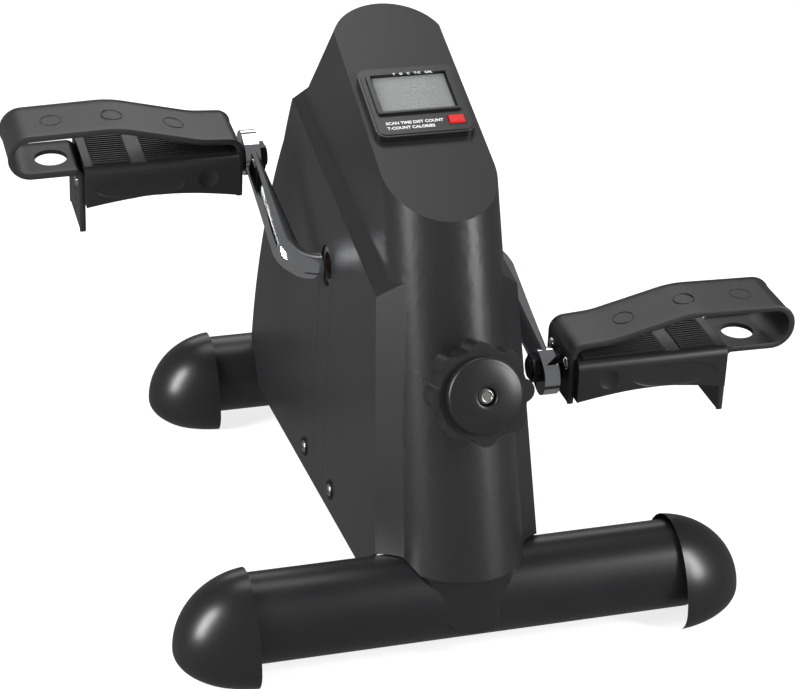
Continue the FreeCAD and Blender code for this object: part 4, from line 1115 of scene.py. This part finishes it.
@dataclass
class Console:
    """Display console on the slanted face: bezel, window frame, legends, digits and button."""

    half: float = 28.0
    long: float = 54.0
    proud: float = 4.0
    window: Point = (24.0, 16.0, 5.5)
    glass: tuple[float, float] = (20.5, 13.5)
    button: tuple[float, float, float, float] = (18.5, -18.0, 4.4, 3.0)
    gap: float = 0.35
    plate_lift: float = 0.55
    frame_lift: float = 2.04
    figures: tuple[float, ...] = (-9.0, -3.4, 3.6, 9.2)
    bar: Point = (1.9, 3.2, 0.42)
    face_low: tuple[float, float] = (-145.2, 237.5)
    face_high: tuple[float, float] = (12.5, 314.5)
    middle_y: float = -64.8

    def matrix(self) -> Matrix:
        """From a drawing in x (right), y (up the face), z (off the face) to the console's place."""
        low, high = Vector((0, *self.face_low)), Vector((0, *self.face_high))
        rise = (high - low).normalized()
        normal = Vector((1, 0, 0)).cross(rise)
        origin = low.lerp(high, (self.middle_y - low.y) / (high.y - low.y)) * MM
        return Matrix.Translation(origin) @ Matrix((Vector((1, 0, 0)), rise, normal)).transposed().to_4x4()

    def plate(self) -> Piece:
        """Bezel with rounded corners and a stepped frame round the window."""
        h, w, proud = self.long / 2, self.half, self.proud
        plate = Bench.block("bezel", (-w, -h, -1.0), (w, h, proud))
        Bench.round_edges(plate, lambda _, d: abs(d.z) > 0.9, 6.0, 8)
        Bench.edit(plate, lambda _, n: n.z > 0.9)
        bpy.ops.mesh.inset(thickness=1.4 * MM)
        Bench.push((0, 0, 0.5))
        Bench.done(plate)
        gw, gh, mid = self.window
        frame_block = Bench.block("frame", (-gw, mid - gh, proud - 1.0), (gw, mid + gh, proud + 2.0))
        Bench.carve(plate, Bench.round_edges(frame_block, lambda _, d: abs(d.z) > 0.9, 2.0, 5), add=True)
        slope = Bench.block("opening", (-self.glass[0], mid - self.glass[1], -2.0),
                            (self.glass[0], mid + self.glass[1], proud + 3.0))
        Bench.stretch(slope, (1.06, 1.08, 1), (0, mid, 0), lambda _, n: n.z > 0.9, Pick.FACES)
        Bench.carve(plate, slope)
        x, u, bw, bh = self.button
        bw, bh = bw + self.gap, bh + self.gap
        Bench.carve(plate, Bench.block("hole", (x - bw, u - bh, -2.0), (x + bw, u + bh, 9.0)))
        return Bench.round_off(plate, 0.45, 3, 40)

    def words(self, legend: Legend) -> Piece:
        """One printed legend as a thin raised mesh."""
        text, size, x, u = legend.value
        Bench.clear()
        height = self.proud + (self.frame_lift if legend is Legend.MODES else self.plate_lift)
        bpy.ops.object.text_add(location=(x * MM, u * MM, height * MM))
        obj = bpy.context.active_object
        obj.data.body = text
        obj.data.size = size * 1.25 * MM
        obj.data.extrude = 0.03 * MM
        obj.data.offset = 0.09 * MM
        bpy.ops.object.convert(target="MESH")
        return Bench.settle(legend.name.lower())

    def digits(self) -> Piece:
        """Four noughts, each of six bars round an empty middle."""
        wide, tall, thin = self.bar
        flat, upright = (wide - 0.3, thin), (thin, tall / 2 - 0.25)
        bars = ((0, 1, flat), (1, 0.5, upright), (1, -0.5, upright), (0, -1, flat), (-1, -0.5, upright),
                (-1, 0.5, upright))
        middle, cell = self.window[2] - 0.5, self.proud - 1.0
        pieces = []
        for place in self.figures:
            for across, along, (a, b) in bars:
                x, y = place + across * wide, middle + along * tall
                pieces.append(Bench.block("bar", (x - a, y - b, cell - 0.02), (x + a, y + b, cell + 0.04)))
        return Bench.join(pieces, "display_digits")

    def push_button(self) -> Piece:
        """The red button with a softly crowned top."""
        x, u, bw, bh = self.button
        cap = Bench.block("button", (x - bw, u - bh, -0.9), (x + bw, u + bh, self.proud + 1.7))
        return Bench.round_off(cap, 0.7, 4)

    def build(self) -> None:
        """Make the console's pieces."""
        spot = self.matrix()
        fit(Bench.smooth(Bench.place(self.plate(), spot), 35), "root", "bezel_plastic", ["console_bezel"])
        prints = Bench.join([self.words(word) for word in Legend], "printed_legends")
        fit(Bench.place(prints, spot), "root", "bezel_plastic", finish=PRINT_WHITE)
        fit(Bench.place(self.digits(), spot), "root", "lcd_face", finish=SEGMENT_DARK)
        key = Bench.smooth(Bench.place(self.push_button(), spot), 50)
        fit(key, "button", "button_red", ["reset_button"])


# ---------------------------------------------------------------- studio
@dataclass
class Softbox:
    """A rectangular area light aimed at a point."""

    name: str
    place: Point
    size: tuple[float, float]
    watts: float
    aim: Point = (0.0, 0.0, 0.16)

    def build(self) -> None:
        """Make the light."""
        lamp = bpy.data.lights.new(self.name, "AREA")
        lamp.shape = "RECTANGLE"
        lamp.size, lamp.size_y = self.size
        lamp.energy = self.watts
        obj = bpy.data.objects.new(self.name, lamp)
        bpy.context.scene.collection.objects.link(obj)
        obj.location = self.place
        obj.rotation_euler = (Vector(self.aim) - Vector(self.place)).to_track_quat("-Z", "Y").to_euler()


@dataclass
class Studio:
    """Pale sweep, soft lights and the camera."""

    eye: Point = (-0.3506, -1.2607, 0.6582)
    azimuth: float = -0.2792
    elevation: float = 0.3976
    roll: float = 0.0056
    lens: float = 106.56
    lights: tuple[Softbox, ...] = (
        Softbox("strip_left", (-1.55, -0.40, 0.80), (0.42, 1.10), 34.0),
        Softbox("strip_right", (1.12, -1.14, 0.80), (0.32, 1.10), 26.0),
        Softbox("top", (0.0, 0.5, 1.9), (1.0, 0.7), 6.0),
        Softbox("back", (0.3, 1.7, 1.2), (1.6, 0.9), 8.0),
    )

    def camera(self) -> None:
        """Place the camera from its turn, rise and roll."""
        a, e, r = self.azimuth, self.elevation, self.roll
        right = Vector((math.cos(a), math.sin(a), 0))
        up = Vector((-math.sin(e) * math.sin(a), math.sin(e) * math.cos(a), math.cos(e)))
        back = Vector((math.sin(a) * math.cos(e), -math.cos(a) * math.cos(e), math.sin(e)))
        rolled_right = right * math.cos(r) + up * math.sin(r)
        rolled_up = up * math.cos(r) - right * math.sin(r)
        data = bpy.data.cameras.new("camera")
        data.lens = self.lens
        data.sensor_width = 36.0
        data.clip_end = 20.0
        camera = bpy.data.objects.new("camera", data)
        bpy.context.scene.collection.objects.link(camera)
        turn = Matrix((rolled_right, rolled_up, back)).transposed().to_4x4()
        camera.matrix_world = Matrix.Translation(self.eye) @ turn
        bpy.context.scene.camera = camera

    def floor(self) -> None:
        """A wide pale floor."""
        Bench.clear()
        bpy.ops.mesh.primitive_plane_add(size=14.0, location=(0, 0, -0.0002))
        plane = Bench.settle("floor")
        g = Graph("pale_floor")
        tone = g.noise(2.0, 2.0)
        g.set(Base_Color=g.mix(tone, (0.50, 0.50, 0.50), (0.48, 0.48, 0.485)), Roughness=0.6,
              Emission_Color=(1.0, 1.0, 1.0, 1.0), Emission_Strength=0.80)
        plane.data.materials.append(g.material)
        plane.visible_glossy = False

    def world(self) -> None:
        """Soft white surroundings."""
        world = bpy.data.worlds.new("studio")
        world.use_nodes = True
        world.node_tree.nodes["Background"].inputs["Color"].default_value = (1, 1, 1, 1)
        world.node_tree.nodes["Background"].inputs["Strength"].default_value = 0.16
        bpy.context.scene.world = world

    def build(self) -> None:
        """Make the whole studio."""
        self.camera()
        self.floor()
        self.world()
        for lamp in self.lights:
            lamp.build()
        bpy.context.scene.view_settings.view_transform = "Standard"


def main() -> None:
    """Build every sub-assembly in order."""
    Studio().build()
    WARDROBE.dress_nodes()
    for assembly in (Feet(), Housing(), Crank(), Pedal(), Knob(), Console()):
        assembly.build()
        log.info("built %s", type(assembly).__name__)


if __name__ == "__main__":
    main()
